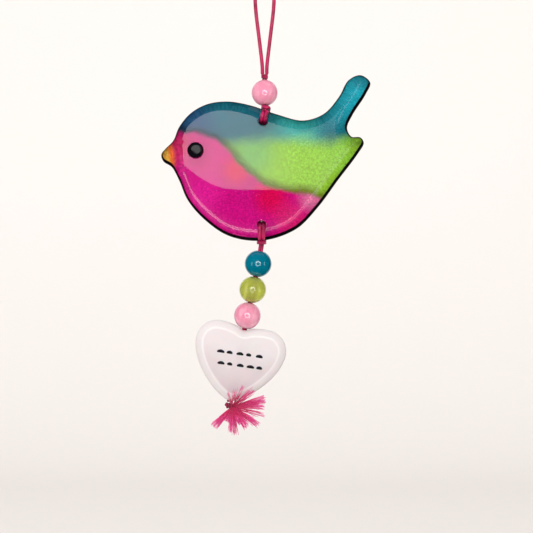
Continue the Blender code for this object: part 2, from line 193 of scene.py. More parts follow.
@dataclass(frozen=True)
class SatinCord(Finish):
    """Rattail satin: rayon braided on the bias round a core, with a soft gloss, and painted shade and painted
    highlight in its braid.
    """

    # Painted shade in the braid's grooves and painted highlight on its crowns
    shadow: str = "#860A34"
    lustre: str = "#D41F5E"
    yarns: int = 8
    slub: float = 1.6 * MM
    relief: float = 0.05 * MM

    def pattern(self, tree: bpy.types.NodeTree) -> dict:
        """Braid lines wound both ways round the cord, twice as coarse as the real yarns, so that they show,
        with the shadow colour as painted shade in their grooves and the lustre colour as painted highlight on
        their crowns.

        Args:
            tree: the material's node tree.

        Returns:
            What goes to the shader's inputs.
        """
        place = add_node(tree, "SeparateXYZ", {0: add_node(tree, "UVMap", uv_map="UVMap")})
        along, around = place.outputs[0], place.outputs[1]
        lines = []
        for way in (1.0, -1.0):
            wound = add_node(tree, "Math", {0: around, 1: way, 2: along}, operation="MULTIPLY_ADD")
            angle = add_node(tree, "Math", {0: wound, 1: 2 * pi * self.yarns}, operation="MULTIPLY")
            lines.append(add_node(tree, "Math", {0: angle}, operation="SINE"))
        braid = add_node(tree, "Math", {0: lines[0], 1: lines[1]}, operation="MULTIPLY")
        coords = add_node(tree, "TexCoord").outputs["Object"]
        slub = add_node(tree, "TexNoise", {"Vector": coords, "Scale": 1 / self.slub, "Detail": 3.0})
        share = add_node(tree, "MapRange", {0: braid, 1: -1.0, 2: 1.0, 3: 0.25, 4: 0.75})
        varied = add_node(tree, "Math", {0: share, 1: slub}, operation="MULTIPLY")
        lit = add_node(tree, "MapRange", {0: varied, 1: 0.1, 2: 0.42})
        # Painted shade and painted highlight: the braid mixes the shadow and lustre colours
        dye = {0: lit, 6: linear(self.shadow), 7: linear(self.lustre)}
        return {
            "Base Color": add_node(tree, "Mix", dye, data_type="RGBA").outputs[2],
            "Roughness": add_node(tree, "MapRange", {0: varied, 1: 0.1, 2: 0.45, 3: 0.42, 4: 0.22}),
            "Normal": add_node(tree, "Bump", {"Height": braid, "Strength": 0.5, "Distance": self.relief}),
        }


@dataclass(frozen=True)
class FibreFluff(Finish):
    """Loose rayon fibres in the cord's colour, darker at the knot and paler towards the tips."""

    tip: str = "#E4509E"
    root: str = "#9C083C"
    mottle: float = 0.6 * MM

    def pattern(self, tree: bpy.types.NodeTree) -> dict:
        """Colour from root to tip along each fibre, varied from one fibre to the next.

        Args:
            tree: the material's node tree.

        Returns:
            What goes to the shader's inputs.
        """
        along = add_node(tree, "SeparateXYZ", {0: add_node(tree, "UVMap", uv_map="UVMap")})
        coords = add_node(tree, "TexCoord").outputs["Object"]
        mottle = add_node(tree, "TexNoise", {"Vector": coords, "Scale": 1 / self.mottle, "Detail": 2.0})
        varied = add_node(tree, "Math", {0: mottle, 1: 0.9, 2: along}, operation="MULTIPLY_ADD")
        grown = {0: add_node(tree, "MapRange", {0: varied, 1: 0.35, 2: 1.25})}
        grown |= {6: linear(self.root), 7: linear(self.colour)}
        middle = add_node(tree, "Mix", grown, data_type="RGBA").outputs[2]
        pale = {0: add_node(tree, "MapRange", {0: varied, 1: 0.9, 2: 1.5}), 6: middle, 7: linear(self.tip)}
        return {"Base Color": add_node(tree, "Mix", pale, data_type="RGBA").outputs[2]}


@dataclass(frozen=True)
class BeadGlass(Finish):
    """Cloudy pressed glass: cast colour with faint milky swirls under a polished skin."""

    cloud: str = "#FFFFFF"
    swirl: float = 0.3
    swirl_size: float = 3.2 * MM

    def pattern(self, tree: bpy.types.NodeTree) -> dict:
        """Milky swirls of a few millimetres through the colour, drawn out along the bore.

        Args:
            tree: the material's node tree.

        Returns:
            What goes to the shader's inputs.
        """
        coords = add_node(tree, "TexCoord").outputs["Object"]
        stretched = add_node(tree, "Mapping", {0: coords, "Scale": (1.0, 1.0, 0.45)})
        flow = {"Vector": stretched, "Scale": 1 / self.swirl_size, "Detail": 4.0, "Distortion": 0.9}
        milk = add_node(tree, "TexNoise", flow)
        share = add_node(tree, "MapRange", {0: milk, 1: 0.4, 2: 0.75, 3: 0.0, 4: self.swirl})
        swirled = {0: share, 6: linear(self.colour), 7: linear(self.cloud)}
        return {"Base Color": add_node(tree, "Mix", swirled, data_type="RGBA").outputs[2]}


@dataclass(frozen=True)
class FrostedGlass(Finish):
    """Satin-etched opal glass: a milky white body, darker towards the bottom as painted shade, with its rim
    band painted lighter and a painted highlight line where its rounded rim meets the flat.
    """

    # The shade colour is painted shade towards the bottom; the rim and ridge colours are painted light on the
    # rim band and its inner line
    shade: str = "#C4B2B7"
    rim: str = "#DDD6D6"
    ridge_highlight: str = "#F0EDED"
    ridge_depth: float = 2.8
    cloud: float = 9 * MM
    drift: float = 12 * MM
    shade_from: float = -152 * MM
    shade_to: float = -132 * MM
    etch: float = 0.25 * MM
    relief: float = 0.02 * MM

    def pattern(self, tree: bpy.types.NodeTree) -> dict:
        """Soft clouds with painted shade that darkens them downwards, the rim band and its ridge line as
        painted light, and an etch drawn coarse enough to show.

        Args:
            tree: the material's node tree.

        Returns:
            What goes to the shader's inputs.
        """
        coords = add_node(tree, "TexCoord").outputs["Object"]
        clouds = add_node(tree, "TexNoise", {"Vector": coords, "Scale": 1 / self.cloud, "Detail": 2.0})
        height = add_node(tree, "SeparateXYZ", {0: coords}).outputs[2]
        lifted = add_node(tree, "Math", {0: clouds, 1: self.drift, 2: height}, operation="MULTIPLY_ADD")
        # Painted shade: the body darkens towards the bottom of the heart
        share = add_node(tree, "MapRange", {0: lifted, 1: self.shade_from, 2: self.shade_to})
        # Painted light: the rim band is lighter, with a painted highlight line at the ridge
        depth = add_node(tree, "Attribute", attribute_name="rim_depth").outputs["Fac"]
        over = add_node(tree, "MapRange", {0: depth, 1: 3.0, 2: 2.3}, interpolation_type="SMOOTHSTEP")
        apart = add_node(tree, "Math", {0: depth, 1: self.ridge_depth}, operation="SUBTRACT")
        offset = add_node(tree, "Math", {0: apart}, operation="ABSOLUTE")
        near = add_node(tree, "MapRange", {0: offset, 1: 0.6, 2: 0.05, 3: 0.0, 4: 0.6})
        body = linear(self.shade)
        for part, colour in ((share, self.colour), (over, self.rim), (near, self.ridge_highlight)):
            layer = {0: part, 6: body, 7: linear(colour)}
            body = add_node(tree, "Mix", layer, data_type="RGBA").outputs[2]
        etch = add_node(tree, "TexNoise", {"Vector": coords, "Scale": 1 / self.etch, "Detail": 2.0})
        bump = add_node(tree, "Bump", {"Height": etch, "Strength": 0.12, "Distance": self.relief})
        return {"Base Color": body, "Normal": bump}


@dataclass(frozen=True)
class GlossyBlack(Finish):
    """Black glass or enamel: its own faint mottle shows only in the gloss."""

    mottle: float = 1.5 * MM

    def pattern(self, tree: bpy.types.NodeTree) -> dict:
        """Roughness that drifts a little, as on fired enamel.

        Args:
            tree: the material's node tree.

        Returns:
            What goes to the shader's inputs.
        """
        coords = add_node(tree, "TexCoord").outputs["Object"]
        drift = add_node(tree, "TexNoise", {"Vector": coords, "Scale": 1 / self.mottle, "Detail": 3.0})
        spread = {0: drift, 1: 0.3, 2: 0.7, 3: 0.8 * self.roughness, 4: 1.2 * self.roughness}
        return {"Roughness": add_node(tree, "MapRange", spread)}


@dataclass(frozen=True)
class PaleSweep(Finish):
    """Matt paper of the studio's sweep, with clouds a shade apart."""

    lighter: str = "#E9E5E2"
    clouds_per_metre: float = 12.0

    def pattern(self, tree: bpy.types.NodeTree) -> dict:
        """Soft clouds of a few centimetres.

        Args:
            tree: the material's node tree.

        Returns:
            What goes to the shader's inputs.
        """
        coords = add_node(tree, "TexCoord").outputs["Object"]
        clouds = add_node(tree, "TexNoise", {"Vector": coords, "Scale": self.clouds_per_metre, "Detail": 3.0})
        paper = {0: clouds, 6: linear(self.colour), 7: linear(self.lighter)}
        return {"Base Color": add_node(tree, "Mix", paper, data_type="RGBA").outputs[2]}


@dataclass(frozen=True)
class EnamelPatch:
    """A soft round patch of another colour in the enamel, with its centre and its reach in millimetres."""

    colour: str
    centre: tuple[float, float]
    reach: float
    strength: float = 1.0


@dataclass(frozen=True)
class StainedEnamel(Finish):
    """Transparent enamel fired on the back of the glass: three washes that run into each other, and a beak.

    The colours meet along lines that the film's attributes give as distances in millimetres. The glow colour
    is painted highlight, added where the front's shoulder meets its flat.
    """

    back: str = "#1F7083"
    flank: str = "#97D640"
    breast: str = "#DE158E"
    beak: str = "#FFC850"
    beak_blush: str = "#FF7840"
    smoke: str = "#B89A94"
    # glow is painted highlight: light that the glass's shoulder focuses onto the enamel
    glow: str = "#46344A"
    speck: str = "#1B2A30"
    level: float = 2.9 * MM
    drift: float = 5 * MM
    wander: float = 1.6
    grain: float = 0.6 * MM
    speck_spacing: float = 3.4 * MM
    back_patches: tuple[EnamelPatch, ...] = (
        EnamelPatch("#2A5684", (-27.0, -53.0), 12.0, 0.85),
        EnamelPatch("#48C4C0", (12.0, -59.0), 15.0, 0.9),
        EnamelPatch("#26ADC0", (33.0, -39.0), 22.0, 1.0),
        EnamelPatch("#3F8A86", (2.0, -62.0), 13.0, 0.6),
        EnamelPatch("#2F7888", (36.5, -33.0), 8.0, 0.8),
        EnamelPatch("#17646E", (14.0, -49.5), 8.0, 0.8),
    )
    flank_patches: tuple[EnamelPatch, ...] = (
        EnamelPatch("#B0E954", (14.0, -67.0), 24.0, 0.85),
        EnamelPatch("#74C47A", (-5.0, -64.0), 12.0, 0.55),
        EnamelPatch("#90B834", (36.0, -60.5), 7.0, 0.8),
        EnamelPatch("#9ACB2A", (27.0, -76.0), 8.0, 0.6),
    )
    breast_patches: tuple[EnamelPatch, ...] = (
        EnamelPatch("#D03260", (-33.5, -62.0), 10.0, 0.9),
        EnamelPatch("#F23698", (-22.0, -66.0), 13.0, 0.7),
        EnamelPatch("#F23464", (-11.0, -70.5), 8.0, 0.85),
        EnamelPatch("#EC0C54", (2.5, -81.0), 10.0, 0.9),
        EnamelPatch("#F02C70", (10.0, -89.0), 10.0, 0.6),
        EnamelPatch("#F286B4", (18.5, -81.0), 7.5, 0.75),
        EnamelPatch("#F426A6", (-23.0, -79.0), 10.0, 0.7),
    )

    def wash(
        self,
        tree: bpy.types.NodeTree,
        coords: bpy.types.NodeSocket,
        base: str,
        patches: tuple[EnamelPatch, ...],
    ) -> bpy.types.NodeSocket:
        """One wash: a base colour with soft patches.

        Args:
            tree: the node tree.
            coords: the socket of the place on the piece.
            base: the wash's colour.
            patches: the patches, each over the ones before.

        Returns:
            The wash's colour socket.
        """
        colour = linear(base)
        for patch in patches:
            centre = (patch.centre[0] * MM, self.level, patch.centre[1] * MM)
            away = add_node(tree, "VectorMath", {0: coords, 1: centre}, operation="DISTANCE").outputs[1]
            reach = patch.reach * MM
            fall = {0: away, 1: reach, 2: 0.15 * reach, 3: 0.0, 4: patch.strength}
            near = add_node(tree, "MapRange", fall, interpolation_type="SMOOTHSTEP")
            layer = {0: near, 6: colour, 7: linear(patch.colour)}
            colour = add_node(tree, "Mix", layer, data_type="RGBA").outputs[2]
        return colour

    def pattern(self, tree: bpy.types.NodeTree) -> dict:
        """The washes, their joins, a painted highlight where the front's shoulder meets its flat, and the
        enamel's grain of half a millimetre with a few dark specks.

        Args:
            tree: the material's node tree.

        Returns:
            What goes to the shader's inputs.
        """
        coords = add_node(tree, "TexCoord").outputs["Object"]
        drift = add_node(tree, "TexNoise", {"Vector": coords, "Scale": 1 / self.drift, "Detail": 5.0})
        wobble = add_node(tree, "MapRange", {0: drift, 3: -self.wander, 4: self.wander})
        back = self.wash(tree, coords, self.back, self.back_patches)
        breast = self.wash(tree, coords, self.breast, self.breast_patches)
        body = self.wash(tree, coords, self.flank, self.flank_patches)
        for line, start, end, colour, blend in (
            ("back_line", -4.6, 3.0, back, "MIX"),
            ("wing_line", 4.2, 0.2, linear(self.smoke), "MULTIPLY"),
            ("wing_line", 1.1, -1.2, breast, "MIX"),
            ("beak_line", -2.0, 0.0, linear(self.beak_blush), "MIX"),
            ("beak_line", 0.2, 1.7, linear(self.beak), "MIX"),
        ):
            distance = add_node(tree, "Attribute", attribute_name=line).outputs["Fac"]
            moved = add_node(tree, "Math", {0: distance, 1: wobble}, operation="ADD")
            over = add_node(tree, "MapRange", {0: moved, 1: start, 2: end}, interpolation_type="SMOOTHSTEP")
            layer = {0: over, 6: body, 7: colour}
            body = add_node(tree, "Mix", layer, data_type="RGBA", blend_type=blend).outputs[2]
        # Painted highlight: the glow colour is added where the front's shoulder meets its flat
        pale = add_node(tree, "Attribute", attribute_name="painted_shoulder_highlight").outputs["Fac"]
        highlight_layer = {0: pale, 6: body, 7: linear(self.glow)}
        body = add_node(tree, "Mix", highlight_layer, data_type="RGBA", blend_type="ADD").outputs[2]
        grain = add_node(tree, "TexNoise", {"Vector": coords, "Scale": 1 / self.grain, "Detail": 3.0})
        tone = add_node(tree, "MapRange", {0: grain, 1: 0.3, 2: 0.7, 3: 0.78, 4: 1.24})
        toned = add_node(tree, "VectorMath", {0: body, "Scale": tone}, operation="SCALE")
        specks = add_node(tree, "TexVoronoi", {"Vector": coords, "Scale": 1 / self.speck_spacing})
        inside = {0: specks.outputs["Distance"], 1: 0.085, 2: 0.05, 3: 0.0, 4: 0.7}
        cell = add_node(tree, "SeparateColor", {0: specks.outputs["Color"]})
        rare = add_node(tree, "Math", {0: cell, 1: 0.86}, operation="GREATER_THAN")
        dark = add_node(tree, "Math", {0: add_node(tree, "MapRange", inside), 1: rare}, operation="MULTIPLY")
        speckled = {0: dark, 6: toned, 7: linear(self.speck)}
        return {"Base Color": add_node(tree, "Mix", speckled, data_type="RGBA").outputs[2]}


def smooth_curve(points: Sequence, steps: int, closed: bool = False) -> list[Vector]:
    """A centripetal Catmull-Rom curve through points.

    Args:
        points: points of two, three or four numbers.
        steps: how many points each stretch gets.
        closed: whether the last point joins the first.

    Returns:
        The curve's points, both ends included.
    """
    count = len(points)
    curve = []
    for index in range(count if closed else count - 1):
        if closed:
            p0, p1, p2, p3 = (Vector(points[(index + shift) % count]) for shift in (-1, 0, 1, 2))
        else:
            p1, p2 = Vector(points[index]), Vector(points[index + 1])
            p0 = Vector(points[index - 1]) if index else 2 * p1 - p2
            p3 = Vector(points[index + 2]) if index + 2 < count else 2 * p2 - p1
        t1 = sqrt((p1 - p0).length)
        t2 = t1 + sqrt((p2 - p1).length)
        t3 = t2 + sqrt((p3 - p2).length)
        for step in range(steps):
            t = t1 + (t2 - t1) * step / steps
            a1 = p0.lerp(p1, t / t1)
            a2 = p1.lerp(p2, (t - t1) / (t2 - t1))
            a3 = p2.lerp(p3, (t - t2) / (t3 - t2))
            b1 = a1.lerp(a2, t / t2)
            b2 = a2.lerp(a3, (t - t1) / (t3 - t1))
            curve.append(b1.lerp(b2, (t - t1) / (t2 - t1)))
    if not closed:
        curve.append(Vector(points[-1]))
    return curve


def spaced(points: list[Vector], count: int) -> list[Vector]:
    """A closed outline as evenly spaced points.

    Args:
        points: the outline.
        count: how many points it gets.

    Returns:
        The new points, from the outline's first one.
    """
    loop = points + points[:1]
    total = sum((b - a).length for a, b in zip(loop, loop[1:]))
    step, travelled, even = total / count, 0.0, []
    for a, b in zip(loop, loop[1:]):
        span = (b - a).length
        while len(even) < count and len(even) * step <= travelled + span:
            even.append(a.lerp(b, (len(even) * step - travelled) / span))
        travelled += span
    return even


def line_distances(places: np.ndarray, line: np.ndarray) -> tuple[np.ndarray, np.ndarray]:
    """The distance of each place to a line, and on which side of it the place lies.

    Args:
        places: an array of (x, z) places.
        line: an array of the line's (x, z) points.

    Returns:
        The distances, and the sides as 1 on the left of the line and -1 on its right.
    """
    nearest = np.full(len(places), np.inf)
    side = np.ones(len(places))
    for a, b in zip(line, line[1:]):
        along = b - a
        share = np.clip((places - a) @ along / (along @ along), 0.0, 1.0)
        apart = places - (a + share[:, None] * along)
        distance = np.hypot(apart[:, 0], apart[:, 1])
        nearer = distance < nearest - 1e-9
        turn = along[0] * (places[:, 1] - a[1]) - along[1] * (places[:, 0] - a[0])
        nearest = np.where(nearer, distance, nearest)
        side = np.where(nearer, np.where(turn >= 0, 1.0, -1.0), side)
    return nearest, side


def as_array(points: list[Vector]) -> np.ndarray:
    """Points as an array with a row for each."""
    return np.array([tuple(point) for point in points])


def front_view(corners: Sequence) -> np.ndarray:
    """The (x, z) places of vertices, as an array."""
    return np.array([(corner.co.x, corner.co.z) for corner in corners])


def closed_line(outline: list[Vector]) -> np.ndarray:
    """A closed outline as an array whose last point is its first."""
    return as_array(outline + outline[:1])


def inwards(outline: list[Vector]) -> list[Vector]:
    """The direction into a clockwise outline at each of its points.

    Args:
        outline: the outline.

    Returns:
        The directions, of length 1.
    """
    found = []
    for before, after in zip(outline[-1:] + outline[:-1], outline[1:] + outline[:1]):
        along = (after - before).normalized()
        found.append(Vector((along.y, -along.x)))
    return found


def depths(places: np.ndarray, outline: list[Vector]) -> np.ndarray:
    """How far inside a clockwise outline each place lies, negative where it is outside."""
    away, side = line_distances(places, closed_line(outline))
    return -away * side


def moved_in(outline: list[Vector], distance: float, shift: Vector = Vector((0.0, 0.0))) -> list[Vector]:
    """An outline's points moved inwards, each by a distance that a shift makes longer on one side.

    Args:
        outline: a clockwise outline.
        distance: how far the points move.
        shift: how far the outline that they make is moved as a whole.

    Returns:
        The points.
    """
    return [point + (distance + shift.dot(way)) * way for point, way in zip(outline, inwards(outline))]


def inset_points(
    outline: list[Vector], distance: float, every: int = 1, shift: Vector = Vector((0.0, 0.0))
) -> list[Vector]:
    """Points of an outline moved inwards, without those that another stretch of the edge is nearer to.

    Args:
        outline: a clockwise outline.
        distance: how far the points move.
        every: keeps only every so many points.
        shift: how far the outline that they make is moved as a whole.

    Returns:
        The points that are left.
    """
    moved = moved_in(outline, distance, shift)[::every]
    wanted = np.array([distance + shift.dot(way) for way in inwards(outline)])[::every]
    away, _ = line_distances(as_array(moved), closed_line(outline))
    return [point for point, clear in zip(moved, away >= 0.985 * wanted) if clear]


def grid_points(outline: list[Vector], spacing: float, clear: float) -> list[Vector]:
    """Staggered points inside an outline.

    Args:
        outline: a clockwise outline.
        spacing: the distance between points.
        clear: how far the points stay from the edge.

    Returns:
        The points.
    """
    line = closed_line(outline)
    low, high = line.min(axis=0), line.max(axis=0)
    points = []
    for row, z in enumerate(np.arange(low[1], high[1], 0.866 * spacing)):
        points += [(x, z) for x in np.arange(low[0] + (row % 2) * spacing / 2, high[0], spacing)]
    points = np.array(points)
    away, _ = line_distances(points, line)
    crossings = np.zeros(len(points), int)
    for a, b in zip(line, line[1:]):
        spans = (a[1] > points[:, 1]) != (b[1] > points[:, 1])
        with np.errstate(divide="ignore", invalid="ignore"):
            at = a[0] + (points[:, 1] - a[1]) * (b[0] - a[0]) / (b[1] - a[1])
        crossings += spans & (points[:, 0] < at)
    kept = (crossings % 2 == 1) & (away > clear)
    return [Vector(point) for point in points[kept]]


@dataclass
class Round:
    """A round hole in a flat piece."""

    centre: Vector
    radius: float

    def rim(self, wider: float = 0.0) -> list[Vector]:
        """Points round the hole, clockwise, or round a circle that much wider."""
        turns = [-2 * pi * step / RIM_POINTS for step in range(RIM_POINTS)]
        return [self.centre + (self.radius + wider) * Vector((cos(turn), sin(turn))) for turn in turns]


def filled(outline: list[Vector], holes: list[Round], inner: list[Vector]) -> bmesh.types.BMesh:
    """A flat bmesh in the XZ plane that fills an outline with even triangles and leaves its holes open.

    Args:
        outline: the clockwise edge.
        holes: the round holes.
        inner: points for its triangles to pass through.

    Returns:
        The bmesh, whose faces look to -Y.
    """
    places = list(outline)
    edges = [(index, (index + 1) % len(outline)) for index in range(len(outline))]
    for hole in holes:
        start, rim = len(places), hole.rim()
        places += rim
        edges += [(start + index, start + (index + 1) % len(rim)) for index in range(len(rim))]
    for point in inner:
        if all((point - hole.centre).length > hole.radius * (1 + RIM_MARGIN) for hole in holes):
            places.append(point)
    flat, _, faces, *_ = delaunay_2d_cdt(places, edges, [], 1, 1e-8)
    shape = bmesh.new()
    corners = [shape.verts.new((place.x, 0.0, place.y)) for place in flat]
    for face in faces:
        middle = sum((flat[index] for index in face), Vector((0.0, 0.0))) / len(face)
        if all((middle - hole.centre).length > hole.radius * (1 - RIM_MARGIN) for hole in holes):
            shape.faces.new([corners[index] for index in face])
    loose = [corner for corner in shape.verts if not corner.link_faces]
    bmesh.ops.delete(shape, geom=loose, context="VERTS")
    return shape


def next_ring(shape: bmesh.types.BMesh, ring: list, places: list) -> list:
    """Extrudes a closed ring of vertices to new places.

    Args:
        shape: the bmesh.
        ring: the ring's vertices in order.
        places: where each new vertex goes.

    Returns:
        The new ring's vertices in the same order.
    """
    edges = [shape.edges.get(pair) for pair in zip(ring, ring[1:] + ring[:1])]
    made = bmesh.ops.extrude_edge_only(shape, edges=edges)["geom"]
    fresh = {item for item in made if isinstance(item, bmesh.types.BMVert)}
    following = []
    for corner, place in zip(ring, places):
        beside = [edge.other_vert(corner) for edge in corner.link_edges]
        twin = next(other for other in beside if other in fresh)
        twin.co = place
        following.append(twin)
    return following


def open_ring(shape: bmesh.types.BMesh, places: list) -> list:
    """A closed ring of new vertices and edges.

    Args:
        shape: the bmesh.
        places: where each vertex goes.

    Returns:
        The ring's vertices in order.
    """
    ring = [shape.verts.new(place) for place in places]
    for pair in zip(ring, ring[1:] + ring[:1]):
        shape.edges.new(pair)
    return ring


def rim_ring(shape: bmesh.types.BMesh, outline: list[Vector]) -> list:
    """The open edge's vertices in an outline's order.

    Args:
        shape: the bmesh.
        outline: the outline, whose points the vertices are at.

    Returns:
        The vertices.
    """
    rim = {corner for edge in shape.edges if edge.is_boundary for corner in edge.verts}
    found = {(round(corner.co.x, 7), round(corner.co.z, 7)): corner for corner in rim}
    return [found[(round(point.x, 7), round(point.y, 7))] for point in outline]


def plain_mesh(name: str, shape: bmesh.types.BMesh) -> bpy.types.Mesh:
    """A mesh from a bmesh as it is.

    Args:
        name: the mesh's name.
        shape: the bmesh, which is freed.

    Returns:
        The mesh.
    """
    data = bpy.data.meshes.new(name)
    shape.to_mesh(data)
    shape.free()
    return data


def mesh_of(name: str, shape: bmesh.types.BMesh, sharp: float = 180.0) -> bpy.types.Mesh:
    """A mesh from a closed bmesh, with its doubles merged and its faces outwards.

    Args:
        name: the mesh's name.
        shape: the bmesh, which is freed.
        sharp: the angle in degrees from which an edge stays sharp.

    Returns:
        The mesh, shaded smooth.
    """
    bmesh.ops.remove_doubles(shape, verts=shape.verts, dist=WELD)
    bmesh.ops.recalc_face_normals(shape, faces=shape.faces)
    data = plain_mesh(name, shape)
    data.shade_smooth()
    if sharp < 180:
        data.set_sharp_from_angle(angle=radians(sharp))
    return data


def hold_numbers(data: bpy.types.Mesh, name: str, numbers: np.ndarray) -> None:
    """Keeps a number for each vertex of a mesh, in an attribute that a finish reads."""
    held = data.attributes.new(name, "FLOAT", "POINT")
    held.data.foreach_set("value", numbers.astype(np.float32))


def turned(name: str, profile: list[tuple[float, float]], segments: int, place: Matrix) -> bpy.types.Mesh:
    """A mesh spun round Z from a profile of (radius, height) points, then placed.

    Args:
        name: the mesh's name.
        profile: the closed profile.
        segments: how many steps the turn has.
        place: where the mesh goes.

    Returns:
        The mesh.
    """
    shape = bmesh.new()
    corners = [shape.verts.new((radius, 0.0, height)) for radius, height in profile]
    edges = [shape.edges.new(pair) for pair in zip(corners, corners[1:] + corners[:1])]
    bmesh.ops.spin(
        shape,
        geom=corners + edges,
        axis=(0, 0, 1),
        cent=(0, 0, 0),
        steps=segments,
        angle=2 * pi,
        use_merge=True,
    )
    bmesh.ops.transform(shape, matrix=place, verts=shape.verts)
    return mesh_of(name, shape, 50)


def cord_mesh(name: str, routes: list[list[Vector]], sides: int) -> bpy.types.Mesh:
    """Round cords along (x, y, z, radius) points.

    Args:
        name: the mesh's name.
        routes: one list of points for each cord.
        sides: how many sides a cord has, an even number from 4.

    Returns:
        The mesh. Its UVs run from 0 to 1 along each cord, and once round it.
    """
    data = bpy.data.curves.new(name, "CURVE")
    data.dimensions = "3D"
    data.bevel_depth = 1.0
    data.bevel_resolution = (sides - 4) // 2
    data.use_fill_caps = True
    for route in routes:
        spline = data.splines.new("POLY")
        spline.points.add(len(route) - 1)
        for corner, point in zip(spline.points, route):
            corner.co = (point[0], point[1], point[2], 1.0)
            corner.radius = point[3]
    holder = bpy.data.objects.new(name, data)
    mesh = bpy.data.meshes.new_from_object(holder)
    bpy.data.objects.remove(holder)
    bpy.data.curves.remove(data)
    mesh.shade_smooth()
    return mesh


def rounded_ends(route: list[Vector]) -> list[Vector]:
    """A route whose ends close in a half round.

    Args:
        route: (x, y, z, radius) points.

    Returns:
        The route with three more points at each end.
    """
    ends = []
    for tip, beside in ((route[0], route[1]), (route[-1], route[-2])):
        back = (tip.xyz - beside.xyz).normalized()
        cap = []
        for share in (0.45, 0.8, 0.97):
            place = tip.xyz + back * tip[3] * share
            cap.append(Vector((*place, tip[3] * sqrt(1 - share**2))))
        ends.append(cap)
    return ends[0][::-1] + route + ends[1]


def length_of(route: list[Vector]) -> float:
    """The length of a route's centreline."""
    return sum((b.xyz - a.xyz).length for a, b in zip(route, route[1:]))


def braided_mesh(name: str, route: list[Vector], sides: int = 16) -> bpy.types.Mesh:
    """One cord whose UVs run along it in the same measure as round it, for the braid.

    Args:
        name: the mesh's name.
        route: (x, y, z, radius) points.
        sides: how many sides the cord has.

    Returns:
        The mesh.
    """
    mesh = cord_mesh(name, [rounded_ends(route)], sides)
    turns = length_of(route) / (pi * STRAND)
    for corner in mesh.uv_layers["UVMap"].data:
        corner.uv.x *= turns
    return mesh


def added(name: str, data: bpy.types.ID) -> bpy.types.Object:
    """Adds an object to the scene.

    Args:
        name: its name.
        data: its mesh, light or camera.

    Returns:
        The object.
    """
    made = bpy.data.objects.new(name, data)
    bpy.context.scene.collection.objects.link(made)
    return made


def piece(name: str, mesh: bpy.types.Mesh, finish: Finish, slot: Slot, *nodes: str) -> bpy.types.Object:
    """A dressed piece that rides on the part and stands for its CAD nodes.

    Args:
        name: the piece's name.
        mesh: its mesh, in the row frame.
        finish: its finish.
        slot: the record's slot that the finish goes with; not used.
        nodes: the CAD nodes that it replaces.

    Returns:
        The object.
    """
    made = added(name, mesh)
    mesh.materials.append(finish.material())
    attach(made, "root")
    if nodes:
        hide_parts(*nodes)
    log.info("%s: %d faces", name, len(mesh.polygons))
    return made


def placed(matrix: Matrix, points: list[tuple]) -> list[Vector]:
    """Route points of a local frame as row frame ones, with their radii."""
    return [Vector((*(matrix @ Vector(point[:3])), point[3])) for point in points]


def mirrored(points: list[tuple]) -> list[tuple]:
    """The same points on the other side of the frame's YZ plane, in the opposite order."""
    return [(-x, y, z, radius) for x, y, z, radius in reversed(points)]


@dataclass
class HangingLoop:
    """The free loop of cord that the suncatcher hangs by, and the knot that closes it."""

    crown_radius: float = 3.6 * MM
    knot_turns: float = 2.15
    knot_reach: float = 0.82 * MM
    knot_half: float = 0.46 * MM
    knot_ripple: float = 0.12 * MM
    exit: tuple[float, float, float] = (-SIDE, 0.0, -33.2 * MM)
    finish: Finish = SatinCord("Satin rattail cord", "#A8104A", 0.28, shadow="#6E082C", lustre="#C81A5C")
    # The knot's finish is the cord's satin in darker colours: painted shade of its tight turns
    dark: Finish = SatinCord(
        "Satin rattail knot", "#8A1238", 0.4, sheen=0.3, shadow="#6B0C2E", lustre="#B81B52"
    )

    def route(self) -> list[Vector]:
        """The centreline: up the left strand, round the crown and down the right one.

        Returns:
            (x, y, z, radius) points.
        """
        full, crown = STRAND / 2, self.crown_radius
        turns = [step / 8 * pi for step in range(9)]
        arc = [(-crown * cos(turn), 0.0, -crown * (1 - sin(turn)), full) for turn in turns]
        shoulder = -2.4 * crown
        bottom = self.exit[2]
        half = [
            (-SIDE, 0.0, bottom, full),
            (-1.1 * SIDE, 0.0, bottom + 2 * STRAND, full),
            (-2.4 * SIDE, 0.0, 0.5 * (shoulder + bottom), full),
            (-0.95 * crown, 0.0, shoulder, full),
        ]
        return smooth_curve(half + arc + mirrored(half), 6)

    def knot_route(self) -> list[Vector]:
        """A squeezed overhand knot: two close turns round both strands, with one strand across the front.

        Returns:
            (x, y, z, radius) points.
        """
        reach = self.knot_reach
        points = []
        for step in range(41):
            turn = step / 40
            angle = 2 * pi * self.knot_turns * turn + 0.6
            height = self.knot_half * cos(pi * turn) - self.knot_ripple * sin(3 * angle)
            point = Vector((reach * cos(angle), reach * sin(angle), height, 0.5 * SQUEEZED))
            points.append(point + Vector((*KNOT, 0.0)))
        return points

    def build(self) -> bpy.types.Object:
        """Returns:
            The loop.
        """
        route = self.route()
        loop = piece("cord_loop", braided_mesh("cord_loop", route), self.finish, Slot.CORD, "hanging_loop")
        knot = braided_mesh("cord_knot", self.knot_route(), 12)
        piece("cord_knot", knot, self.dark, Slot.CORD, "hanging_knot")
        return loop


